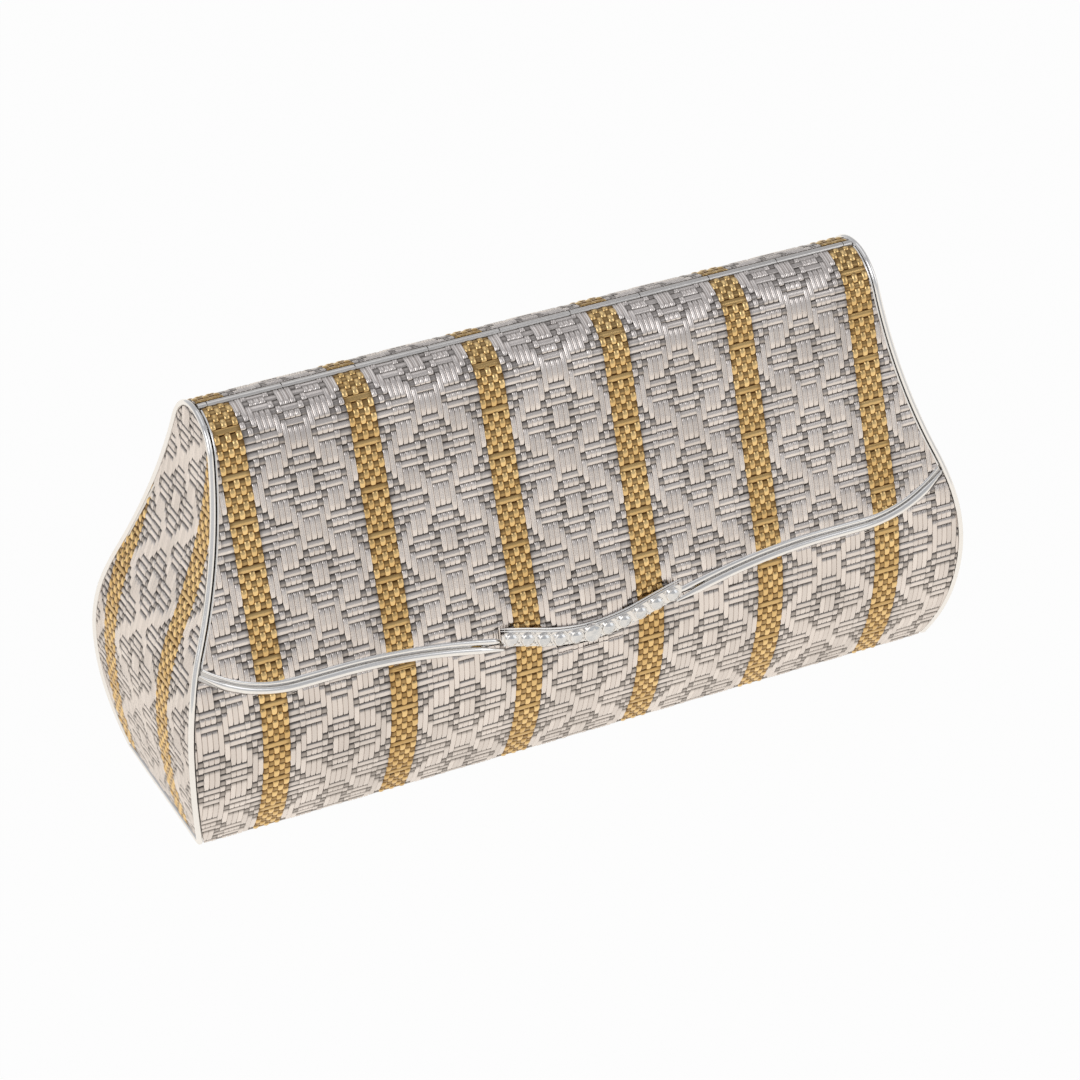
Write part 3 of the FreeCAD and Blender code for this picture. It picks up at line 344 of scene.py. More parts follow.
def step_at_stones(across):
    """From 0 along the rim wires to 1 under the stones."""
    return 1 - ease(from_middle(across), STEP_START, STEP_END)


# Edges of each panel: its first and last run at a place across, and its left and right edge at a run.


def lid_length(across):
    rise = over_tab(upper_wire_rise(across) - LID_EDGE_LAP, across, LID_NOTCH_HALF)
    low = side_run(rim_height(across, rise))
    return np.full_like(low, HINGE_RUN), low


def lid_ground_length(across):
    rise = LID_GROUND_RISE + LID_GROUND_STEP * step_at_stones(across)
    rise = over_tab(rise, across, LID_NOTCH_HALF + LID_NOTCH_GROUND_GAP)
    low = side_run(rim_height(across, rise))
    return np.full_like(low, HINGE_RUN), low


def front_length(across):
    heights = rim_height(across, FRONT_STEP * step_at_stones(across) - FRONT_FALL)
    top = with_notch(side_run(heights), across, NOTCH_HALF)
    return top, np.full_like(top, SIDE_RUN)


def front_ground_length(across):
    heights = rim_height(across, FRONT_GROUND_RISE + FRONT_GROUND_STEP * step_at_stones(across))
    top = with_notch(side_run(heights), across, NOTCH_HALF + NOTCH_GROUND_GAP)
    return top, np.full_like(top, SIDE_RUN)


def tab_length(across):
    top = side_run(rim_height(across, TAB_RISE))
    return top, np.full_like(top, NOTCH_RUN - TAB_FOOT_GAP)


def tab_width(down):
    reach = np.full_like(np.asarray(down, float), NOTCH_HALF - TAB_SIDE_GAP)
    return -reach, reach


def back_length(across):
    top = np.full_like(np.asarray(across, float), HINGE_RUN)
    return top, np.full_like(top, SIDE_RUN)


def wall_width(inset):
    def width(down):
        reach = end_reach(side_point(down)[1], inset)
        return -reach, reach
    return width


OUTLINE_STEPS = 600
END_OUTLINE_HEIGHTS = np.linspace(HEIGHT - END_INSET - END_TOP_GAP, BELLY_Z, OUTLINE_STEPS)
END_OUTLINE_REACHES = side_reach(END_OUTLINE_HEIGHTS, END_INSET)


def end_length(across):
    top = end_run(np.interp(from_middle(across), END_OUTLINE_REACHES, END_OUTLINE_HEIGHTS))
    return top, np.full_like(top, end_run(END_FOOT))


def end_width(down):
    reach = side_reach(end_point(down)[1], END_INSET)
    return -reach, reach


def base_length(across):
    top = np.full_like(np.asarray(across, float), -BASE_HALF_DEPTH)
    return top, -top


def base_width(down):
    reach = np.full_like(np.asarray(down, float), BASE_HALF_LENGTH)
    return -reach, reach


LID_RANGE = (1.0, 68.0)
FRONT_RANGE = (56.0, SIDE_RUN)
BACK_RANGE = (1.0, SIDE_RUN)
END_RANGE = (float(end_run(HEIGHT - END_INSET)), float(end_run(END_FOOT)))
BASE_RANGE = (-BASE_HALF_DEPTH, BASE_HALF_DEPTH)
TAB_RANGE = (float(side_run(RIM_DIP_Z + TAB_TOP_SPARE)), NOTCH_RUN)
PANELS = [
    Panel("lid", "lid", lay_on_side, -1, lid_length, wall_width(LID_INSET), LID_RANGE, EYE_RUN,
          ground_length=lid_ground_length),
    Panel("front", "case", lay_on_side, -1, front_length, wall_width(WALL_INSET), FRONT_RANGE, EYE_RUN,
          ground_length=front_ground_length),
    Panel("back", "case", lay_on_side, 1, back_length, wall_width(WALL_INSET), BACK_RANGE, -EYE_RUN),
    Panel("left_end", "case", lay_on_end, -1, end_length, end_width, END_RANGE, END_EYE_RUN,
          first_middle=END_STRIPE - REPEAT_WIDTH / 2),
    Panel("right_end", "case", lay_on_end, 1, end_length, end_width, END_RANGE, END_EYE_RUN,
          first_middle=REPEAT_WIDTH / 2 - END_STRIPE),
    Panel("base", "case", lay_on_base, 1, base_length, base_width, BASE_RANGE, 0.0),
    Panel("thumb_tab", "thumbpiece", lay_on_side, -1, tab_length, tab_width, TAB_RANGE, EYE_RUN),
]


def new_object(name, mesh, body):
    piece = bpy.data.objects.new(name, mesh)
    bpy.context.scene.collection.objects.link(piece)
    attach(piece, body)
    return piece


def mesh_from(sheet, name):
    """The mesh of a bmesh, which is then freed."""
    mesh = bpy.data.meshes.new(name)
    sheet.to_mesh(mesh)
    sheet.free()
    return mesh


class WeaveRepeat:
    """One flat repeat of the weave; every vertex keeps the way to its wire's middle and its half size."""

    def __init__(self):
        self.sheet = bmesh.new()
        self.to_middle = self.sheet.verts.layers.float_vector.new("to_middle")
        self.half_size = self.sheet.verts.layers.float_vector.new("half_size")
        self.tone = self.sheet.verts.layers.float.new("wire_tone")
        # Painted light per vertex: how far a wire's colour falls to its painted shade colour.
        self.painted_light = self.sheet.verts.layers.float.new("wire_painted_light")

    def add_wire(self, centre, half_size, steps, tone, form):
        """A grid that form(across, along) spreads and lifts into a rounded bar, closed underneath."""
        made = bmesh.ops.create_grid(self.sheet, x_segments=steps[0], y_segments=steps[1], size=0.5)
        # A dictionary keeps its order, which a set does not, so every run gives the same mesh.
        faces = dict.fromkeys(face for vert in made["verts"] for face in vert.link_faces)
        edges = dict.fromkeys(edge for vert in made["verts"] for edge in vert.link_edges)
        rim = [edge for edge in edges if len(edge.link_faces) == 1]
        for vert in made["verts"]:
            across, along, lift, painted_light = form(2 * vert.co.x, 2 * vert.co.y)
            away = Vector((across * half_size[0], along * half_size[1], 0.0))
            vert[self.to_middle] = -away
            vert[self.half_size] = (half_size[0], half_size[1], 0.0)
            vert[self.tone] = tone
            vert[self.painted_light] = painted_light
            vert.co = Vector((centre[0], centre[1], lift - GROUND_DEPTH)) + away
        for face in faces:
            face.smooth = True
        for edge in rim:
            edge.smooth = False
        for face in bmesh.ops.edgeloop_fill(self.sheet, edges=rim)["faces"]:
            face.normal_update()
            if face.normal.z > 0:
                face.normal_flip()


# Upright wires: how they climb and round off, and the painted shade and highlight on their ends and sides.
FLOAT_RAMP = 1.15
FLOAT_COLUMNS = 8
FLOAT_END_ROWS = 6
STRAND_DIP = 0.22
STRAND_EDGE = 0.45
STRAND_ROUNDING = 0.18
SINGLE_ROUNDING = 0.5
LOWER_TIP_PAINTED_SHADOW = 0.25
UPPER_TIP_PAINTED_LIGHT = 0.12
UPPER_END_PAINTED_GAIN = 0.8
SLOPE_PAINTED_LIGHT = 0.12
SIDE_PAINTED_LIGHT = 0.75

# Cross wires: their form, and the painted shade on their ends and edges.
CROSS_RISE = 0.3
CROSS_HALF = 0.76
CROSS_FALL = 0.1
CROSS_TUCK = 0.25
CROSS_STEPS = (6, 6)
CROSS_END_RUN = 0.75
CROSS_END_PAINTED_LIGHT = 0.6
CROSS_TOP_PAINTED_LIGHT = 0.35
CROSS_TOP_END = -0.35
CROSS_FOOT_PAINTED_SHADE = 0.3
CROSS_FOOT_START = 0.7


def float_form(half, rise, dip):
    """An upright wire, with a dip between two strands, that climbs over the cross wires and dives again."""
    ramp = min(FLOAT_RAMP, half)
    rounding = STRAND_ROUNDING if dip else SINGLE_ROUNDING

    def form(across, along):
        along = 0.5 * along + 0.5 * math.sin(0.5 * math.pi * along)
        climb = 1 - min(1.0, half * (1 - abs(along)) / ramp)
        arch = math.sqrt(max(0.0, 1 - climb ** 2))
        section = math.sqrt(max(0.0, 1 - across ** 2))
        if dip:
            strand = math.sqrt(max(0.0, 1 - (2 * abs(across) - 1) ** 2))
            outside = STRAND_EDGE + (1 - STRAND_EDGE) * strand
            section = outside if abs(across) > 0.5 else 1 - dip * (1 - strand)
        # Painted light: the upper end is painted darker, the lower end lighter down its slope with a painted
        # shadow at its tip, and the sides painted darker between wires.
        end = UPPER_TIP_PAINTED_LIGHT + UPPER_END_PAINTED_GAIN * arch * arch
        if along > 0:
            end = ease(arch, 0.0, LOWER_TIP_PAINTED_SHADOW)
        painted_light = (end + SLOPE_PAINTED_LIGHT * along) * (SIDE_PAINTED_LIGHT + (1 - SIDE_PAINTED_LIGHT) * section)
        return across * (1 - rounding * abs(along) ** 4), along, rise * arch * section, painted_light

    return form


def cross_form(half, painted_light_share):
    """The part of a cross wire that shows between upright wires, with painted shade at its ends and along its
    upper and lower edges.
    """

    def form(across, along):
        along = math.sin(0.5 * math.pi * along)
        arch = math.sqrt(max(0.0, 1 - along ** 2))
        # Painted shade: darker towards the ends of the opening, along the upper edge and a little along the
        # lower edge.
        inward = ease(half * (1 - abs(across)), 0.0, CROSS_END_RUN)
        shade = CROSS_TOP_PAINTED_LIGHT + (1 - CROSS_TOP_PAINTED_LIGHT) * ease(along, -1.0, CROSS_TOP_END)
        shade = shade * (1 - CROSS_FOOT_PAINTED_SHADE * ease(along, CROSS_FOOT_START, 1.0))
        painted_light = painted_light_share * (CROSS_END_PAINTED_LIGHT + (1 - CROSS_END_PAINTED_LIGHT) * inward) * shade
        return across, along, CROSS_RISE * arch, painted_light

    return form


def is_over(draft, place, row):
    """Whether the upright wire at a place passes over a row."""
    place = place % REPEAT_WIRES
    passes = draft[min(place, REPEAT_WIRES - place)]
    rows = (row - REPEAT_ROWS, row, row + REPEAT_ROWS)
    return any(first <= each <= last for first, last in passes for each in rows)


def open_runs(draft, places, row):
    """Neighbouring places where a row's cross wire shows, as first and last place."""
    runs = []
    for place in places:
        if is_over(draft, place, row):
            continue
        if runs and runs[-1][1] == place - 1:
            runs[-1][1] = place
        else:
            runs.append([place, place])
    return runs


def weave_repeat(name, draft, places, half_width, overrun, rise, dip, painted_light_shares, seed):
    """One repeat: a draft's upright wires, and the cross wires where they show, with painted shade that is
    darker in narrow openings.
    """
    chance = np.random.default_rng(seed)
    repeat = WeaveRepeat()
    for place, passes in draft.items():
        for sign in (-1, 1) if 0 < place < REPEAT_WIRES // 2 else (1,):
            for first, last in passes:
                half = (0.5 * (last - first) + overrun) * ROW_PITCH
                centre = (sign * place * WIRE_PITCH, 0.5 * (first + last) * ROW_PITCH)
                steps = (FLOAT_COLUMNS, FLOAT_END_ROWS + last - first)
                form = float_form(half, rise, dip)
                repeat.add_wire(centre, (half_width, half), steps, chance.random(), form)
    for row in range(REPEAT_ROWS):
        for first, last in open_runs(draft, places, row):
            left = (first - 0.5) * WIRE_PITCH - (CROSS_TUCK if first > places[0] else 0.0)
            right = (last + 0.5) * WIRE_PITCH + (CROSS_TUCK if last < places[-1] else 0.0)
            half = 0.5 * (right - left)
            centre = (0.5 * (left + right), row * ROW_PITCH + CROSS_FALL)
            form = cross_form(half, painted_light_shares[min(last - first, len(painted_light_shares) - 1)])
            repeat.add_wire(centre, (half, CROSS_HALF), CROSS_STEPS, chance.random(), form)
    return mesh_from(repeat.sheet, name)


# How far copies of a repeat reach past a panel, in repeats: across, above and below.
SPARE_ACROSS = 0.5
SPARE_ABOVE = 0.8
SPARE_BELOW = 0.2
WIDTH_SAMPLES = 200


def spread_repeats(mesh, panel):
    """Copies of a repeat over the whole panel, as one flat mesh."""
    downs = np.linspace(*panel.down_range, WIDTH_SAMPLES)
    reach = max(np.abs(edge).max() for edge in panel.width(downs))
    first_across = math.floor((-reach - panel.first_middle) / REPEAT_WIDTH - SPARE_ACROSS)
    last_across = math.ceil((reach - panel.first_middle) / REPEAT_WIDTH + SPARE_ACROSS)
    first_down = math.floor((panel.down_range[0] - panel.first_eye) / REPEAT_LENGTH - SPARE_ABOVE)
    last_down = math.ceil((panel.down_range[1] - panel.first_eye) / REPEAT_LENGTH + SPARE_BELOW)
    flat = bpy.data.objects.new("flat_repeats", mesh.copy())
    bpy.context.scene.collection.objects.link(flat)
    left = panel.first_middle + first_across * REPEAT_WIDTH
    top = panel.first_eye + first_down * REPEAT_LENGTH
    flat.data.transform(Matrix.Translation((left, top, 0.0)))
    for name, count, step in (
        ("across", last_across - first_across + 1, (REPEAT_WIDTH, 0.0, 0.0)),
        ("down", last_down - first_down + 1, (0.0, REPEAT_LENGTH, 0.0)),
    ):
        copies = flat.modifiers.new(name, "ARRAY")
        copies.count = count
        copies.use_relative_offset = False
        copies.use_constant_offset = True
        copies.constant_offset_displace = step
    view = bpy.context.evaluated_depsgraph_get()
    spread = bpy.data.meshes.new_from_object(flat.evaluated_get(view))
    old = flat.data
    bpy.data.objects.remove(flat)
    bpy.data.meshes.remove(old)
    return spread


def read_vectors(values, field, count):
    read = np.empty(count * 3, np.float32)
    values.foreach_get(field, read)
    return read.reshape(-1, 3).astype(float)


def write_places(mesh, places):
    """Move a mesh's vertices to places in millimetres."""
    mesh.vertices.foreach_set("co", (places * MM).astype(np.float32).ravel())


def press_inside(values, low, high, first_edge, last_edge):
    """Press the part of each wire that would pass an edge into a narrow margin inside it."""
    near = first_edge + EDGE_MARGIN
    passes = (low < first_edge) & (values < near)
    pressed = near - (near - values) / np.maximum(near - low, EDGE_MARGIN) * EDGE_MARGIN
    values = np.where(passes, pressed, values)
    near = last_edge - EDGE_MARGIN
    passes = (high > last_edge) & (values > near)
    pressed = near + (values - near) / np.maximum(high - near, EDGE_MARGIN) * EDGE_MARGIN
    return np.clip(np.where(passes, pressed, values), first_edge, last_edge)


# Wires are told apart by their middles, and one stays where enough of it is inside the panel.
KEYS_PER_MM = 50
KEY_STRIDE = 1000003
LEAST_SHARE_INSIDE = 0.05
HALF_SPLIT = 0.25 * WIRE_PITCH
MERGE_DISTANCE = 1e-7


def fit_to_panel(points, to_middle, half_size, panel):
    """End the wires at the panel's edges; gives the points, which of them stay and their wires' middles."""
    middle = points + to_middle
    low = middle - half_size
    high = middle + half_size
    fitted = points.copy()
    for _ in range(2):
        fitted[:, 0] = press_inside(points[:, 0], low[:, 0], high[:, 0], *panel.width(fitted[:, 1]))
        fitted[:, 1] = press_inside(points[:, 1], low[:, 1], high[:, 1], *panel.length(fitted[:, 0]))
    across = points[:, 0]
    down = points[:, 1]
    left, right = panel.width(np.clip(down, *panel.down_range))
    top, foot = panel.length(np.clip(across, left, right))
    inside = (across > left) & (across < right) & (down > top) & (down < foot)
    keys = np.round(middle[:, :2] * KEYS_PER_MM).astype(np.int64)
    _, wire = np.unique(keys[:, 0] * KEY_STRIDE + keys[:, 1], return_inverse=True)
    shares = np.bincount(wire, inside) / np.bincount(wire)
    return fitted, shares[wire] > LEAST_SHARE_INSIDE, middle


def stand_for_panel(panel):
    """Hide the panel's CAD node, where there is one, since a woven piece stands in its place."""
    if panel.name + "_weave" in nodes:
        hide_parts(panel.name + "_weave")


def lay_weave(panel, mesh, name, material, half=0):
    """Fit copies of a repeat to a panel, or to its left or right half, and lay them on it."""
    spread = spread_repeats(mesh, panel)
    count = len(spread.vertices)
    points = read_vectors(spread.vertices, "co", count)
    to_middle = read_vectors(spread.attributes["to_middle"].data, "vector", count)
    half_size = read_vectors(spread.attributes["half_size"].data, "vector", count)
    fitted, stays, middle = fit_to_panel(points, to_middle, half_size, panel)
    if half:
        stays &= half * (middle[:, 0] - HALF_SPLIT) > 0
    write_places(spread, panel.place(fitted))
    sheet = bmesh.new()
    sheet.from_mesh(spread)
    bpy.data.meshes.remove(spread)
    loose = [vert for vert, stay in zip(sheet.verts, stays) if not stay]
    bmesh.ops.delete(sheet, geom=loose, context="VERTS")
    bmesh.ops.remove_doubles(sheet, verts=sheet.verts[:], dist=MERGE_DISTANCE)
    bmesh.ops.dissolve_degenerate(sheet, edges=sheet.edges[:], dist=MERGE_DISTANCE)
    for layer in ("to_middle", "half_size"):
        sheet.verts.layers.float_vector.remove(sheet.verts.layers.float_vector[layer])
    piece = new_object(name, mesh_from(sheet, name), panel.body)
    piece.data.materials.append(material)
    stand_for_panel(panel)


def flat_slab(columns, rows):
    """A unit grid with a second layer and closed sides, to be shaped."""
    slab = bmesh.new()
    bmesh.ops.create_grid(slab, x_segments=columns, y_segments=rows, size=0.5)
    bmesh.ops.solidify(slab, geom=slab.faces[:], thickness=SLAB_THICKNESS)
    return slab


def lay_ground(panel, material, edge_material):
    """The sheet under the wires, painted dark as the shade between them, as a closed slab with a plain metal
    hem and sides.
    """
    left, right = panel.width(np.array([np.mean(panel.down_range)]))
    columns = max(GROUND_LEAST_STEPS, round(float(right[0] - left[0]) / GROUND_STEP))
    rows = max(GROUND_LEAST_STEPS, round((panel.down_range[1] - panel.down_range[0]) / GROUND_STEP))
    slab = flat_slab(columns, rows)
    bmesh.ops.recalc_face_normals(slab, faces=slab.faces[:])
    mesh = mesh_from(slab, panel.name + "_weave_ground")
    count = len(mesh.vertices)
    share = read_vectors(mesh.vertices, "co", count)
    upper = share[:, 2] > 0.5 * (share[:, 2].min() + share[:, 2].max())
    share = np.clip(share + 0.5, 0, 1)
    flat = np.zeros((count, 3))
    flat[:, 1] = np.mean(panel.down_range)
    for _ in range(GROUND_FIT_ROUNDS):
        left, right = panel.width(flat[:, 1])
        flat[:, 0] = left + share[:, 0] * (right - left)
        top, foot = panel.ground_length(flat[:, 0])
        flat[:, 1] = 0.5 * flat[:, 1] + 0.5 * (top + share[:, 1] * (foot - top))
    flat[:, 2] = np.where(upper, -GROUND_DEPTH, -WEAVE_DEPTH)
    write_places(mesh, panel.place(flat))
    from_end = np.minimum(flat[:, 1] - top, foot - flat[:, 1])
    from_side = np.minimum(flat[:, 0] - left, right - flat[:, 0])
    woven = upper & (from_end > HEM_WIDTH) & (from_side > SIDE_HEM_WIDTH)
    for face in mesh.polygons:
        around = list(face.vertices)
        is_woven = upper[around].all() and woven[around].any()
        face.material_index = 0 if is_woven else 1
    corners = np.empty(len(mesh.loops), np.int32)
    mesh.loops.foreach_get("vertex_index", corners)
    place = mesh.uv_layers.new(name="weave_place")
    repeats = np.empty((count, 2), np.float32)
    repeats[:, 0] = (flat[:, 0] - panel.first_middle) / REPEAT_WIDTH
    repeats[:, 1] = (flat[:, 1] - panel.first_eye) / REPEAT_LENGTH
    place.data.foreach_set("uv", repeats[corners].ravel())
    piece = new_object(mesh.name, mesh, panel.body)
    piece.data.materials.append(material)
    piece.data.materials.append(edge_material)
    stand_for_panel(panel)


# Finishes.
NOISE_LOW = 0.3
NOISE_HIGH = 0.7
NOISE_DETAIL = 3.0
# Painted light: the range over which a woven wire's painted light blends from its painted shade colour to its
# own colour.
PAINTED_LIGHT_LOW = 0.1
PAINTED_LIGHT_HIGH = 0.85
WIRE_TONE_SHARE = 0.45
BUMP_DISTANCE = 0.0001
STRIPE_HALF = 2.5 / REPEAT_WIRES
# Painted shade: dark colours of the sheet under the wires, standing for the shade in the gaps between them.
SILVER_GAP_PAINTED_SHADE = (0.12, 0.106, 0.098)
GOLD_GAP_PAINTED_SHADE = (0.12, 0.058, 0.018)
GAP_ROUGHNESS = (0.4, 0.65)
COOL_WHITE = (0.78, 0.81, 0.84)
STONE_ROUGHNESS = (0.0, 0.05)
WHITE = (1.0, 1.0, 1.0)


def metal_skin():
    """Slow tone changes and fine grain over a metal, from its place on the object."""
    group = bpy.data.node_groups.new("metal_skin", "ShaderNodeTree")
    group.interface.new_socket("Tone Scale", in_out="INPUT", socket_type="NodeSocketFloat")
    group.interface.new_socket("Grain Scale", in_out="INPUT", socket_type="NodeSocketFloat")
    group.interface.new_socket("Tone", in_out="OUTPUT", socket_type="NodeSocketFloat")
    group.interface.new_socket("Grain", in_out="OUTPUT", socket_type="NodeSocketFloat")
    given = group.nodes.new("NodeGroupInput")
    result = group.nodes.new("NodeGroupOutput")
    place = group.nodes.new("ShaderNodeTexCoord")
    for scale, output in (("Tone Scale", "Tone"), ("Grain Scale", "Grain")):
        noise = group.nodes.new("ShaderNodeTexNoise")
        noise.inputs["Detail"].default_value = NOISE_DETAIL
        group.links.new(place.outputs["Object"], noise.inputs["Vector"])
        group.links.new(given.outputs[scale], noise.inputs["Scale"])
        group.links.new(noise.outputs["Fac"], result.inputs[output])
    return group


METAL_SKIN = metal_skin()


def new_material(name):
    material = bpy.data.materials.new(name)
    material.use_nodes = True
    tree = material.node_tree
    shader = tree.nodes["Principled BSDF"]
    return material, tree, shader


def add_skin(tree, tone_scale, grain_scale):
    """The metal skin in a material, with its own scales; gives its tone and grain."""
    skin = tree.nodes.new("ShaderNodeGroup")
    skin.node_tree = METAL_SKIN
    skin.inputs["Tone Scale"].default_value = tone_scale
    skin.inputs["Grain Scale"].default_value = grain_scale
    return skin.outputs["Tone"], skin.outputs["Grain"]


def feed(tree, place, value):
    """Link a socket to an input, or set the input to a plain value."""
    if isinstance(value, bpy.types.NodeSocket):
        tree.links.new(value, place)
    else:
        place.default_value = value


def add_math(tree, operation, *values):
    node = tree.nodes.new("ShaderNodeMath")
    node.operation = operation
    for place, value in zip(node.inputs, values):
        feed(tree, place, value)
    return node.outputs["Value"]


def add_attribute(tree, name):
    attribute = tree.nodes.new("ShaderNodeAttribute")
    attribute.attribute_name = name
    return attribute.outputs["Fac"]


def blend_colours(tree, share, first, second):
    """The first colour where the share is 0 and the second where it is 1; each is a socket or plain."""
    mix = tree.nodes.new("ShaderNodeMix")
    mix.data_type = "RGBA"
    tree.links.new(share, mix.inputs["Factor"])
    for place, colour in (("A", first), ("B", second)):
        plain = isinstance(colour, tuple)
        feed(tree, mix.inputs[place], (*colour, 1.0) if plain else colour)
    return mix.outputs["Result"]


def to_range(tree, value, low, high):
    """A noise value spread from low to high."""
    ranged = tree.nodes.new("ShaderNodeMapRange")
    ranged.inputs["From Min"].default_value = NOISE_LOW
    ranged.inputs["From Max"].default_value = NOISE_HIGH
    ranged.inputs["To Min"].default_value = low
    ranged.inputs["To Max"].default_value = high
    tree.links.new(value, ranged.inputs["Value"])
    return ranged.outputs["Result"]


def add_painted_shade(tree, colour, painted_shade):
    """The colour of a wire, falling to a painted shade colour towards its low edges, where its painted light
    attribute is low.
    """
    rise = tree.nodes.new("ShaderNodeMapRange")
    rise.interpolation_type = "SMOOTHSTEP"
    rise.inputs["From Min"].default_value = PAINTED_LIGHT_LOW
    rise.inputs["From Max"].default_value = PAINTED_LIGHT_HIGH
    tree.links.new(add_attribute(tree, "wire_painted_light"), rise.inputs["Value"])
    return blend_colours(tree, rise.outputs["Result"], painted_shade, colour)


def metal(name, dark, light, roughness, tone_scale, grain_scale, bump, painted_shade=None):
    """A metal with slow changes of colour and gloss and a fine grain; woven wires darken to a painted shade
    colour at their ends, sides and narrow openings.
    """
    material, tree, shader = new_material(name)
    tone, grain = add_skin(tree, tone_scale, grain_scale)
    if painted_shade:
        tone = add_math(tree, "MULTIPLY_ADD", add_attribute(tree, "wire_tone"), WIRE_TONE_SHARE, tone)
    colour = blend_colours(tree, tone, dark, light)
    if painted_shade:
        colour = add_painted_shade(tree, colour, painted_shade)
    tree.links.new(colour, shader.inputs["Base Color"])
    tree.links.new(to_range(tree, grain, *roughness), shader.inputs["Roughness"])
    shader.inputs["Metallic"].default_value = 1.0
    dents = tree.nodes.new("ShaderNodeBump")
    dents.inputs["Strength"].default_value = bump
    dents.inputs["Distance"].default_value = BUMP_DISTANCE
    tree.links.new(grain, dents.inputs["Height"])
    tree.links.new(dents.outputs["Normal"], shader.inputs["Normal"])
    return material


def striped_painted_shade_ground():
    """Painted shade between the wires: a dark metal sheet for the shaded gaps, browner under the yellow
    stripes.
    """
    material, tree, shader = new_material("weave_ground")
    place = tree.nodes.new("ShaderNodeUVMap")
    place.uv_map = "weave_place"
    split = tree.nodes.new("ShaderNodeSeparateXYZ")
    tree.links.new(place.outputs["UV"], split.inputs["Vector"])
    across = add_math(tree, "FLOORED_MODULO", split.outputs["X"], 1.0)
    stripe = add_math(tree, "COMPARE", across, 0.5, STRIPE_HALF)
    tree.links.new(blend_colours(tree, stripe, SILVER_GAP_PAINTED_SHADE, GOLD_GAP_PAINTED_SHADE), shader.inputs["Base Color"])
    _, grain = add_skin(tree, tone_scale=60.0, grain_scale=3000.0)
    tree.links.new(to_range(tree, grain, *GAP_ROUGHNESS), shader.inputs["Roughness"])
    shader.inputs["Metallic"].default_value = 0.6
    return material


def clear_stone():
    """Bright foil-backed cut stone, with a cool cast that changes from facet to facet."""
    material, tree, shader = new_material("clear_stone")
    tone, grain = add_skin(tree, tone_scale=900.0, grain_scale=400.0)
    colour = blend_colours(tree, to_range(tree, tone, 0.0, 1.0), COOL_WHITE, WHITE)
    tree.links.new(colour, shader.inputs["Base Color"])
    tree.links.new(to_range(tree, grain, *STONE_ROUGHNESS), shader.inputs["Roughness"])
    shader.inputs["Metallic"].default_value = 0.6
    shader.inputs["Transmission Weight"].default_value = 0.22
    shader.inputs["IOR"].default_value = 2.2
    return material


# The last colour of each woven wire is its painted shade, shown at its ends, sides and narrow openings.
SILVER_WIRE = metal("silver_weave_wire", (0.60, 0.555, 0.53), (0.86, 0.805, 0.775), roughness=(0.13, 0.25),
                    tone_scale=60.0, grain_scale=4200.0, bump=0.25, painted_shade=(0.14, 0.124, 0.114))
GOLD_WIRE = metal("gold_weave_wire", (0.56, 0.345, 0.12), (0.94, 0.68, 0.33), roughness=(0.1, 0.2),
                  tone_scale=60.0, grain_scale=4200.0, bump=0.2, painted_shade=(0.15, 0.075, 0.022))
GROUND = striped_painted_shade_ground()
POLISHED_WIRE = metal("polished_edge_wire", (0.87, 0.865, 0.86), (0.95, 0.945, 0.94), roughness=(0.1, 0.2),
                      tone_scale=30.0, grain_scale=900.0, bump=0.05)
HINGE_METAL = metal("hinge_metal", (0.70, 0.68, 0.66), (0.84, 0.82, 0.80), roughness=(0.12, 0.26),
                    tone_scale=40.0, grain_scale=1500.0, bump=0.1)
SETTING_METAL = metal("setting_metal", (0.80, 0.79, 0.78), (0.90, 0.89, 0.88), roughness=(0.08, 0.18),
                      tone_scale=40.0, grain_scale=1200.0, bump=0.08)
LINING_SHEET = metal("lining_sheet", (0.70, 0.47, 0.19), (0.86, 0.63, 0.30), roughness=(0.22, 0.36),
                     tone_scale=25.0, grain_scale=2600.0, bump=0.15)
CATCH_METAL = metal("catch_metal", (0.66, 0.45, 0.19), (0.84, 0.62, 0.31), roughness=(0.18, 0.32),
                    tone_scale=50.0, grain_scale=2000.0, bump=0.12)
BEZEL_METAL = metal("bezel_metal", (0.72, 0.49, 0.20), (0.88, 0.66, 0.33), roughness=(0.1, 0.2),
                    tone_scale=40.0, grain_scale=1200.0, bump=0.06)
SPRING_STEEL = metal("spring_steel", (0.40, 0.40, 0.42), (0.58, 0.58, 0.60), roughness=(0.2, 0.34),
                     tone_scale=80.0, grain_scale=2500.0, bump=0.1)
MIRROR_PLATE = metal("mirror_plate", (0.84, 0.86, 0.87), (0.88, 0.90, 0.91), roughness=(0.01, 0.03),
                     tone_scale=10.0, grain_scale=300.0, bump=0.0)
CLEAR_STONE = clear_stone()

# Finishes of the CAD nodes.
NODE_FINISHES = {
    LINING_SHEET: ["back_liner", "front_liner", "lid_liner", "left_end_liner", "right_end_liner",
                   "base_liner"],
    HINGE_METAL: ["case_hinge_leaf", "lid_hinge_leaf", "hinge_pin"],
    CATCH_METAL: ["mouth_lip", "strike_plate", "strike_rivets", "latch_slide", "latch_rivets",
                  "latch_guide_left", "latch_guide_right", "spring_stop", "latch_cover", "cover_screws"],
    SPRING_STEEL: ["latch_spring"],
    BEZEL_METAL: ["mirror_bezel"],
    MIRROR_PLATE: ["mirror_glass"],
    SETTING_METAL: ["thumbpiece_setting"],
    POLISHED_WIRE: ["left_end_frame", "right_end_frame"],
}
for finish, names in NODE_FINISHES.items():
    for name in names:
        nodes[name].data.materials.clear()
        nodes[name].data.materials.append(finish)

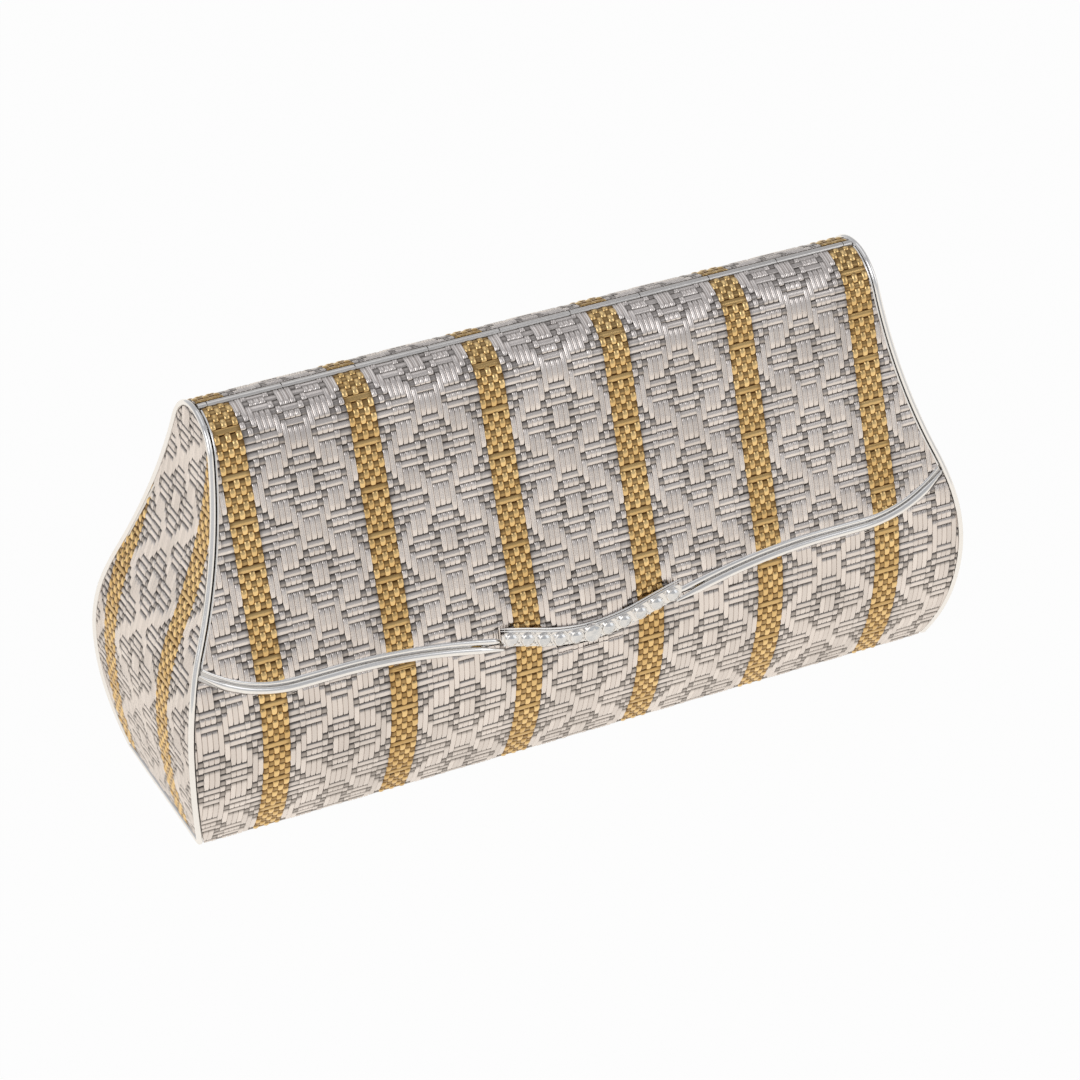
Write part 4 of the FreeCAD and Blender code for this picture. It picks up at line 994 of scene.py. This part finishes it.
# Woven panels.
# The shares are painted light on the cross wires, by how many wires wide each opening is: narrow openings are
# painted darker.
SILVER_REPEAT = weave_repeat("silver_repeat", SILVER_DRAFT, range(-9, 10), half_width=0.495 * WIRE_PITCH,
                             overrun=0.63, rise=0.42, dip=STRAND_DIP, painted_light_shares=(0.48, 0.66, 0.82), seed=11)
GOLD_REPEAT = weave_repeat("gold_repeat", GOLD_DRAFT, range(10, 15), half_width=0.64 * WIRE_PITCH,
                           overrun=0.74, rise=0.5, dip=0.0, painted_light_shares=(0.44, 0.5, 0.62), seed=12)
for panel in PANELS:
    lay_ground(panel, GROUND, HINGE_METAL)
    if panel.name != "thumb_tab":
        lay_weave(panel, GOLD_REPEAT, panel.name + "_gold_wires", GOLD_WIRE)
    if panel.name in ("back", "lid"):
        for side, sign in (("left", -1), ("right", 1)):
            lay_weave(panel, SILVER_REPEAT, panel.name + "_silver_wires_" + side, SILVER_WIRE, sign)
    else:
        lay_weave(panel, SILVER_REPEAT, panel.name + "_silver_wires", SILVER_WIRE)

# Edge wires: the end frames, the lid's side and rim wires, and the lower rim wires.
WIRE_ROUNDNESS = 5
FRAME_RADIUS = 0.6
FRAME_INSET = -0.25
FRAME_DEPTH = 0.4
FRAME_STEPS = 140
FOOT_ROUND = 0.9
FOOT_STEPS = 6
SIDE_WIRE_RADIUS = 0.2
SIDE_WIRE_INSET = 0.72
SIDE_WIRE_TOP = 1.75
SIDE_WIRE_STEPS = 90
RIM_WIRE_DEPTH = 0.15
RIM_WIRE_STEPS = 160
RIM_TIP_SHARE = 0.7
RIM_TIP_LENGTH = 4.0
LOW_WIRE_RADIUS = 0.8
LOW_WIRE_RISE = 0.0
LOW_WIRE_DEPTH = 0.1
LOW_WIRE_GAP = 0.1
LOW_WIRE_OVERRUN = 0.8
LOW_WIRE_STEPS = 180
LOW_CORNER_SHARE = 0.2
LOW_CORNER_LENGTH = 7.0
LOW_TIP_SHARE = 0.35
LOW_TIP_LENGTH = 8.0
REACH_STEPS = 2000
TO_OTHER_FACE = np.array([1, -1, 1])
TO_LEFT = np.array([-1, 1, 1])


def wire_piece(name, points, radius, shares, body, replaced=None, closed=False, finish=None):
    """A round wire along points in millimetres, thinned by shares, in place of a plain one."""
    line = bpy.data.curves.new(name, "CURVE")
    line.dimensions = "3D"
    line.bevel_depth = radius * MM
    line.bevel_resolution = WIRE_ROUNDNESS
    line.use_fill_caps = True
    spline = line.splines.new("POLY")
    spline.points.add(len(points) - 1)
    spline.use_cyclic_u = closed
    for point, place, share in zip(spline.points, points, shares):
        point.co = (*(np.asarray(place, float) * MM), 1.0)
        point.radius = share
    carrier = bpy.data.objects.new(name + "_line", line)
    bpy.context.scene.collection.objects.link(carrier)
    view = bpy.context.evaluated_depsgraph_get()
    mesh = bpy.data.meshes.new_from_object(carrier.evaluated_get(view))
    mesh.name = name
    bpy.data.objects.remove(carrier)
    bpy.data.curves.remove(line)
    for face in mesh.polygons:
        face.use_smooth = True
    piece = new_object(name, mesh, body)
    piece.data.materials.clear()
    piece.data.materials.append(finish or POLISHED_WIRE)
    if replaced:
        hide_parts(replaced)


def side_line(runs, depth, inset):
    """Points down the right side of the front, at a depth, on the front outline set in by inset."""
    half, high, out_y, out_z = side_point(runs)
    high = high - depth * out_z
    return np.column_stack([end_reach(high, inset), -(half - depth * out_y), high])


def rim_line(across, rise, depth):
    """Points along the rim, for the right side."""
    half, high, out_y, out_z = side_point(side_run(rim_height(across, rise)))
    return np.column_stack([across, -(half - depth * out_y), high - depth * out_z])


def rim_reach(rise, inset):
    """How far across the rim runs before it meets the front outline set in by inset."""
    across = np.linspace(CORNER_X, CORNER_X + CORNER_RADIUS - rise, REACH_STEPS)
    return float(across[np.argmax(across >= end_reach(rim_height(across, rise), inset))])


def run_along(points):
    steps = np.linalg.norm(np.diff(points, axis=0), axis=1)
    return np.concatenate([[0.0], np.cumsum(steps)])


def taper(run, share, length):
    """Share of a wire's thickness at a run from its tip: it starts at share and grows to 1."""
    return np.minimum(1.0, share + run / length)


def both_sides(points):
    return (("left", points * TO_LEFT), ("right", points))


def add_end_frames():
    """A closed wire round each end panel, with rounded corners at the foot."""
    foot_run = side_run(FRAME_RADIUS + FOOT_ROUND)
    front_half = side_line(np.linspace(foot_run, 0.0, FRAME_STEPS), FRAME_DEPTH, FRAME_INSET)
    back_half = front_half[::-1][1:] * TO_OTHER_FACE
    turn = np.linspace(0, 0.5 * math.pi, FOOT_STEPS)[1:]
    foot_heights = FRAME_RADIUS + FOOT_ROUND * (1 - np.sin(turn))
    foot_depths = back_half[-1][1] - FOOT_ROUND * (1 - np.cos(turn)) - 0.5 * FOOT_ROUND * np.sin(turn)
    foot_corner = np.column_stack([end_reach(foot_heights, FRAME_INSET), foot_depths, foot_heights])
    loop = np.vstack([front_half, back_half, foot_corner, foot_corner[::-1] * TO_OTHER_FACE])
    for name, points in both_sides(loop):
        wire_piece(name + "_end_frame_wire", points, FRAME_RADIUS, np.ones(len(points)), "case",
                   name + "_end_frame", closed=True)


def add_lid_edge_wires():
    """A thin wire down each side of the lid, and a thicker one along each half of its rim."""
    reach = rim_reach(RIM_WIRE_RISE, SIDE_WIRE_INSET)
    side_runs = np.linspace(SIDE_WIRE_TOP, side_run(rim_height(reach, RIM_WIRE_RISE)), SIDE_WIRE_STEPS)
    side_wire = side_line(side_runs, RIM_WIRE_DEPTH, SIDE_WIRE_INSET)
    across = np.linspace(reach, RIM_WIRE_END, RIM_WIRE_STEPS)
    rim_wire = rim_line(across, upper_wire_rise(across), RIM_WIRE_DEPTH)
    shares = upper_wire_share(across) * taper(across - RIM_WIRE_END, RIM_TIP_SHARE, RIM_TIP_LENGTH)
    for (name, side_points), (_, rim_points) in zip(both_sides(side_wire), both_sides(rim_wire)):
        replaced = "lid_edge_wire_" + name
        wire_piece("lid_side_wire_" + name, side_points, SIDE_WIRE_RADIUS, np.ones(len(side_points)), "lid",
                   replaced)
        wire_piece("lid_rim_wire_" + name, rim_points, RIM_WIRE_RADIUS, shares, "lid", replaced)


def add_lower_rim_wires():
    """The wire along each half of the lower rim, thinner at the frame and beside the stones."""
    reach = rim_reach(LOW_WIRE_RISE, FRAME_RADIUS + FRAME_INSET + LOW_WIRE_GAP)
    across = np.linspace(reach, RIM_WIRE_END - LOW_WIRE_OVERRUN, LOW_WIRE_STEPS)
    line = rim_line(across, LOW_WIRE_RISE, LOW_WIRE_DEPTH)
    run = run_along(line)
    shares = taper(run, LOW_CORNER_SHARE, LOW_CORNER_LENGTH)
    shares = shares * taper(run[-1] - run, LOW_TIP_SHARE, LOW_TIP_LENGTH)
    for name, points in both_sides(line):
        wire_piece("lower_rim_wire_" + name + "_round", points, LOW_WIRE_RADIUS, shares, "lid",
                   "lower_rim_wire_" + name)


# Plugs that close the hinge line up to the end frames.
PLUG_Z = 89.4
PLUG_START = 70.7
PLUG_MIDDLE = 71.6
PLUG_END = 72.5
PLUG_RADIUS = 0.8


def add_hinge_plugs():
    for name, side in (("left", -1), ("right", 1)):
        line = [(side * reach, 0.0, PLUG_Z) for reach in (PLUG_START, PLUG_MIDDLE, PLUG_END)]
        wire_piece("hinge_plug_" + name, line, PLUG_RADIUS, (1.0, 1.0, 1.0), "case", finish=HINGE_METAL)


# Thumbpiece: brilliant stones in collets on a curved strip, with claws between them and fine lines above.
STONE_COUNT = 11
STONE_PITCH = 3.64
STONE_RADIUS = 1.35
MIDDLE_SHARE = 1.36
STONE_RISE = 2.9
SETTING_BACK = -26.15
SETTING_FRONT = -27.0
COLLET_WALL = 0.2
COLLET_STEPS = 28
ROLL_DEPTH = 0.12
ROLL_WIDTH = 0.09
ROLL_FRONT = 0.02
LIP_LAP = 0.06
LIP_FRONT = 0.08
CLAW_RADIUS = 0.25
CLAW_REACH = 1.1
CLAW_FRONT = 0.02
STRIP_HALF = 20.3
STRIP_HEIGHT = 3.2
STRIP_SETBACK = 0.45
STRIP_END_LOSS = 0.45
STRIP_END_LENGTH = 1.3
STRIP_STEPS = (48, 4)
ARM_END = -24.9
RIVET_STAND = 0.08
ARM_MERGE_DISTANCE = 1e-4
LINE_HALF = 20.5
LINE_STEPS = 80
LINE_TIP_SHARE = 0.3
LINE_TIP_LENGTH = 3.0

# Rings of a stone's corners: their count, share of the radius, height over the girdle, and turn.
STONE_RINGS = (
    (8, 0.56, 0.44, math.pi / 8),
    (8, 0.80, 0.27, 0.0),
    (16, 1.0, 0.04, 0.0),
    (16, 1.0, -0.04, 0.0),
    (8, 0.5, -0.42, math.pi / 8),
    (8, 0.06, -0.7, 0.0),
)

# Fine lines: name, rise over the stones, radius and depth.
SETTING_LINES = (("upper", 2.1, 0.2, -25.9), ("lower", 1.65, 0.17, -26.05))


def finish_piece(bm, name, material, replaced=(), smooth=False):
    """Scale a shape built in millimetres, and make it a piece that rides on the thumbpiece."""
    for face in bm.faces:
        face.smooth = smooth
    bmesh.ops.scale(bm, vec=(MM, MM, MM), verts=bm.verts[:])
    bmesh.ops.recalc_face_normals(bm, faces=bm.faces[:])
    piece = new_object(name, mesh_from(bm, name), "thumbpiece")
    piece.data.materials.append(material)
    if replaced:
        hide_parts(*replaced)


def stone_places():
    """Across, height and radius of each stone; the middle one is larger."""
    places = []
    for step in range(STONE_COUNT):
        x = (step - 0.5 * (STONE_COUNT - 1)) * STONE_PITCH
        radius = STONE_RADIUS * MIDDLE_SHARE if step == STONE_COUNT // 2 else STONE_RADIUS
        places.append((x, float(rim_height(x, STONE_RISE)), radius))
    return places


def add_brilliant(bm, x, z, radius):
    """One cut stone: table, crown, girdle, pavilion and a small culet."""
    stand = Matrix.Translation((x, SETTING_FRONT, z)) @ Matrix.Rotation(0.5 * math.pi, 4, "X")
    cut = bmesh.new()
    corners = []
    for count, share, height, turn in STONE_RINGS:
        level = stand @ Matrix.Translation((0, 0, height)) @ Matrix.Rotation(turn, 4, "Z")
        ring = bmesh.ops.create_circle(cut, cap_ends=False, segments=count, radius=share * radius,
                                       matrix=level)
        corners += ring["verts"]
    bmesh.ops.convex_hull(cut, input=corners)
    part = mesh_from(cut, "stone")
    bm.from_mesh(part)
    bpy.data.meshes.remove(part)


def add_collet(bm, x, z, radius):
    """A short tube round one stone, with a rolled front edge."""
    outer = radius + COLLET_WALL
    section = (
        (outer, SETTING_BACK),
        (outer, SETTING_FRONT + ROLL_DEPTH),
        (outer - ROLL_WIDTH, SETTING_FRONT - ROLL_FRONT),
        (radius - LIP_LAP, SETTING_FRONT - LIP_FRONT),
        (radius - LIP_LAP, SETTING_BACK),
    )
    verts = [bm.verts.new((x + reach, y, z)) for reach, y in section]
    edges = [bm.edges.new((first, second)) for first, second in zip(verts, verts[1:] + verts[:1])]
    bmesh.ops.spin(bm, geom=verts + edges, cent=(x, 0, z), axis=(0, 1, 0), dvec=(0, 0, 0),
                   angle=2 * math.pi, steps=COLLET_STEPS, use_merge=True, use_duplicate=False)


def add_stones():
    """The stones, their collets, and the claws above and below the gaps between them."""
    stones = bmesh.new()
    collets = bmesh.new()
    claws = bmesh.new()
    for x, z, radius in stone_places():
        add_brilliant(stones, x, z, radius)
        add_collet(collets, x, z, radius)
    for step in range(STONE_COUNT + 1):
        x = (step - 0.5 * STONE_COUNT) * STONE_PITCH
        for rise in (STONE_RISE - CLAW_REACH, STONE_RISE + CLAW_REACH):
            stand = Matrix.Translation((x, SETTING_FRONT - CLAW_FRONT, float(rim_height(x, rise))))
            bmesh.ops.create_icosphere(claws, subdivisions=2, radius=CLAW_RADIUS, matrix=stand)
    finish_piece(stones, "brilliant_stones", CLEAR_STONE, ("thumbpiece_stones",))
    finish_piece(collets, "stone_collets", SETTING_METAL, ("thumbpiece_setting",))
    finish_piece(claws, "stone_claws", SETTING_METAL, smooth=True)


def add_setting_strip():
    """The curved strip behind the collets, narrower at its ends."""
    strip = flat_slab(*STRIP_STEPS)
    low_side = min(vert.co.z for vert in strip.verts)
    for vert in strip.verts:
        x = 2 * STRIP_HALF * vert.co.x
        end = ease(abs(x), STRIP_HALF - STRIP_END_LENGTH, STRIP_HALF)
        rise = STONE_RISE + STRIP_HEIGHT * vert.co.y * (1 - STRIP_END_LOSS * end)
        is_back = vert.co.z < low_side + 0.5 * SLAB_THICKNESS
        y = SETTING_BACK if is_back else SETTING_FRONT + STRIP_SETBACK
        vert.co = (x, y, float(rim_height(x, rise)))
    finish_piece(strip, "setting_strip", SETTING_METAL, ("thumbpiece_setting",))


def add_short_arm():
    """Copies of the latch slide and its rivets that end behind the weave."""
    for node_name, piece_name, end in (("latch_slide", "latch_slide_plate", ARM_END),
                                       ("latch_rivets", "latch_rivet_pins", ARM_END - RIVET_STAND)):
        node = nodes[node_name]
        short = bmesh.new()
        short.from_mesh(node.data)
        to_millimetres = Matrix.Scale(1 / MM, 4) @ node.matrix_world
        bmesh.ops.transform(short, matrix=to_millimetres, verts=short.verts[:])
        for vert in short.verts:
            vert.co.y = max(vert.co.y, end)
        bmesh.ops.remove_doubles(short, verts=short.verts[:], dist=ARM_MERGE_DISTANCE)
        finish_piece(short, piece_name, CATCH_METAL, (node_name,))


def add_setting_lines():
    """Two fine wires above the stones, with thin ends."""
    across = np.linspace(-LINE_HALF, LINE_HALF, LINE_STEPS)
    shares = taper(LINE_HALF - np.abs(across), LINE_TIP_SHARE, LINE_TIP_LENGTH)
    for name, rise, radius, y in SETTING_LINES:
        line = np.column_stack([across, np.full(LINE_STEPS, y), rim_height(across, STONE_RISE + rise)])
        wire_piece("setting_" + name + "_line", line, radius, shares, "thumbpiece", "thumbpiece_setting")


add_end_frames()
add_lid_edge_wires()
add_lower_rim_wires()
add_hinge_plugs()
add_stones()
add_setting_strip()
add_short_arm()
add_setting_lines()

# Stage, light and camera; the camera's aim and distance are in millimetres.
FLOOR_HALF = 3.0
FLOOR_GAP = 0.0004
FLOOR_GLOW = 0.97
FLOOR_COLOUR = (0.9, 0.9, 0.9, 1.0)
FLOOR_BOUNCE = (1.0, 0.945, 0.87)
LEVEL_GREY = (0.62, 0.62, 0.62, 1.0)
OVERHEAD_GREY = (0.46, 0.46, 0.47, 1.0)
OVERHEAD_START = 0.6
AMBIENT_STRENGTH = 0.45
LAMP_AIM_Z = 0.04
CAMERA_AZIMUTH = math.radians(26.39)
CAMERA_ELEVATION = math.radians(33.392)
CAMERA_DISTANCE = 865.6
CAMERA_AIM_Z = 36.08
CAMERA_AIM_RIGHT = 1.170
CAMERA_AIM_UP = 1.337
CAMERA_LENS = 139.913
CAMERA_SENSOR = 36.0


def seen_rays(tree):
    """Whether a ray comes from the camera, and whether it comes from the camera, metal or glass."""
    path = tree.nodes.new("ShaderNodeLightPath")
    camera = path.outputs["Is Camera Ray"]
    or_metal = add_math(tree, "MAXIMUM", camera, path.outputs["Is Glossy Ray"])
    return camera, add_math(tree, "MAXIMUM", or_metal, path.outputs["Is Transmission Ray"])


def add_floor():
    """A pale floor that looks white and keeps the object's shadow, with a warm bounce."""
    bm = bmesh.new()
    bmesh.ops.create_grid(bm, x_segments=1, y_segments=1, size=FLOOR_HALF)
    floor = bpy.data.objects.new("floor", mesh_from(bm, "floor"))
    bpy.context.scene.collection.objects.link(floor)
    floor.location.z = -FLOOR_GAP
    material, tree, shader = new_material("pale_floor")
    shader.inputs["Base Color"].default_value = FLOOR_COLOUR
    shader.inputs["Roughness"].default_value = 0.9
    shader.inputs["Specular IOR Level"].default_value = 0.0
    camera, seen = seen_rays(tree)
    glow = tree.nodes.new("ShaderNodeEmission")
    tree.links.new(blend_colours(tree, camera, FLOOR_BOUNCE, WHITE), glow.inputs["Color"])
    mix = tree.nodes.new("ShaderNodeMixShader")
    tree.links.new(add_math(tree, "MULTIPLY", seen, FLOOR_GLOW), mix.inputs["Fac"])
    tree.links.new(shader.outputs["BSDF"], mix.inputs[1])
    tree.links.new(glow.outputs["Emission"], mix.inputs[2])
    tree.links.new(mix.outputs["Shader"], tree.nodes["Material Output"].inputs["Surface"])
    floor.data.materials.append(material)


def add_surround():
    """White for the camera, greys that dim overhead for metal and glass, and weaker greys as light."""
    world = bpy.data.worlds.new("studio")
    bpy.context.scene.world = world
    world.use_nodes = True
    tree = world.node_tree
    back = tree.nodes["Background"]
    place = tree.nodes.new("ShaderNodeTexCoord")
    split = tree.nodes.new("ShaderNodeSeparateXYZ")
    tree.links.new(place.outputs["Generated"], split.inputs["Vector"])
    fade = tree.nodes.new("ShaderNodeValToRGB")
    fade.color_ramp.elements[0].position = 0.0
    fade.color_ramp.elements[0].color = LEVEL_GREY
    fade.color_ramp.elements[1].position = OVERHEAD_START
    fade.color_ramp.elements[1].color = OVERHEAD_GREY
    tree.links.new(split.outputs["Z"], fade.inputs["Fac"])
    camera, seen = seen_rays(tree)
    tree.links.new(blend_colours(tree, camera, fade.outputs["Color"], WHITE), back.inputs["Color"])
    strength = tree.nodes.new("ShaderNodeMapRange")
    strength.inputs["To Min"].default_value = AMBIENT_STRENGTH
    strength.inputs["To Max"].default_value = 1.0
    tree.links.new(seen, strength.inputs["Value"])
    tree.links.new(strength.outputs["Result"], back.inputs["Strength"])


def add_lamp(name, place, size, watts):
    """A square soft lamp that points at the object; its place and size are in metres."""
    lamp = bpy.data.lights.new(name, "AREA")
    lamp.shape = "RECTANGLE"
    lamp.size = size
    lamp.size_y = size
    lamp.energy = watts
    holder = bpy.data.objects.new(name, lamp)
    bpy.context.scene.collection.objects.link(holder)
    holder.location = place
    aim = Vector((0, 0, LAMP_AIM_Z)) - Vector(place)
    holder.rotation_euler = aim.to_track_quat("-Z", "Y").to_euler()


def add_camera():
    """The photograph's viewing angle."""
    level = math.cos(CAMERA_ELEVATION)
    forward = Vector((math.sin(CAMERA_AZIMUTH) * level, math.cos(CAMERA_AZIMUTH) * level,
                      -math.sin(CAMERA_ELEVATION)))
    right = Vector((math.cos(CAMERA_AZIMUTH), -math.sin(CAMERA_AZIMUTH), 0.0))
    up = right.cross(forward)
    lens = bpy.data.cameras.new("camera")
    lens.sensor_width = CAMERA_SENSOR
    lens.lens = CAMERA_LENS
    lens.clip_start = 0.01
    camera = bpy.data.objects.new("camera", lens)
    bpy.context.scene.collection.objects.link(camera)
    aim = Vector((0, 0, CAMERA_AIM_Z)) * MM + right * (CAMERA_AIM_RIGHT * MM) + up * (CAMERA_AIM_UP * MM)
    stand = Matrix.Translation(aim - forward * (CAMERA_DISTANCE * MM))
    camera.matrix_world = stand @ Matrix((right, up, -forward)).transposed().to_4x4()
    bpy.context.scene.camera = camera


add_floor()
add_surround()
add_lamp("left_softbox", (-0.9, -0.7, 0.9), 0.9, 3.9)
add_lamp("right_softbox", (0.9, -0.6, 0.7), 0.8, 1.5)
add_lamp("top_softbox", (0.0, 0.3, 1.3), 1.0, 1.1)
add_camera()
bpy.context.scene.view_settings.view_transform = "Standard"
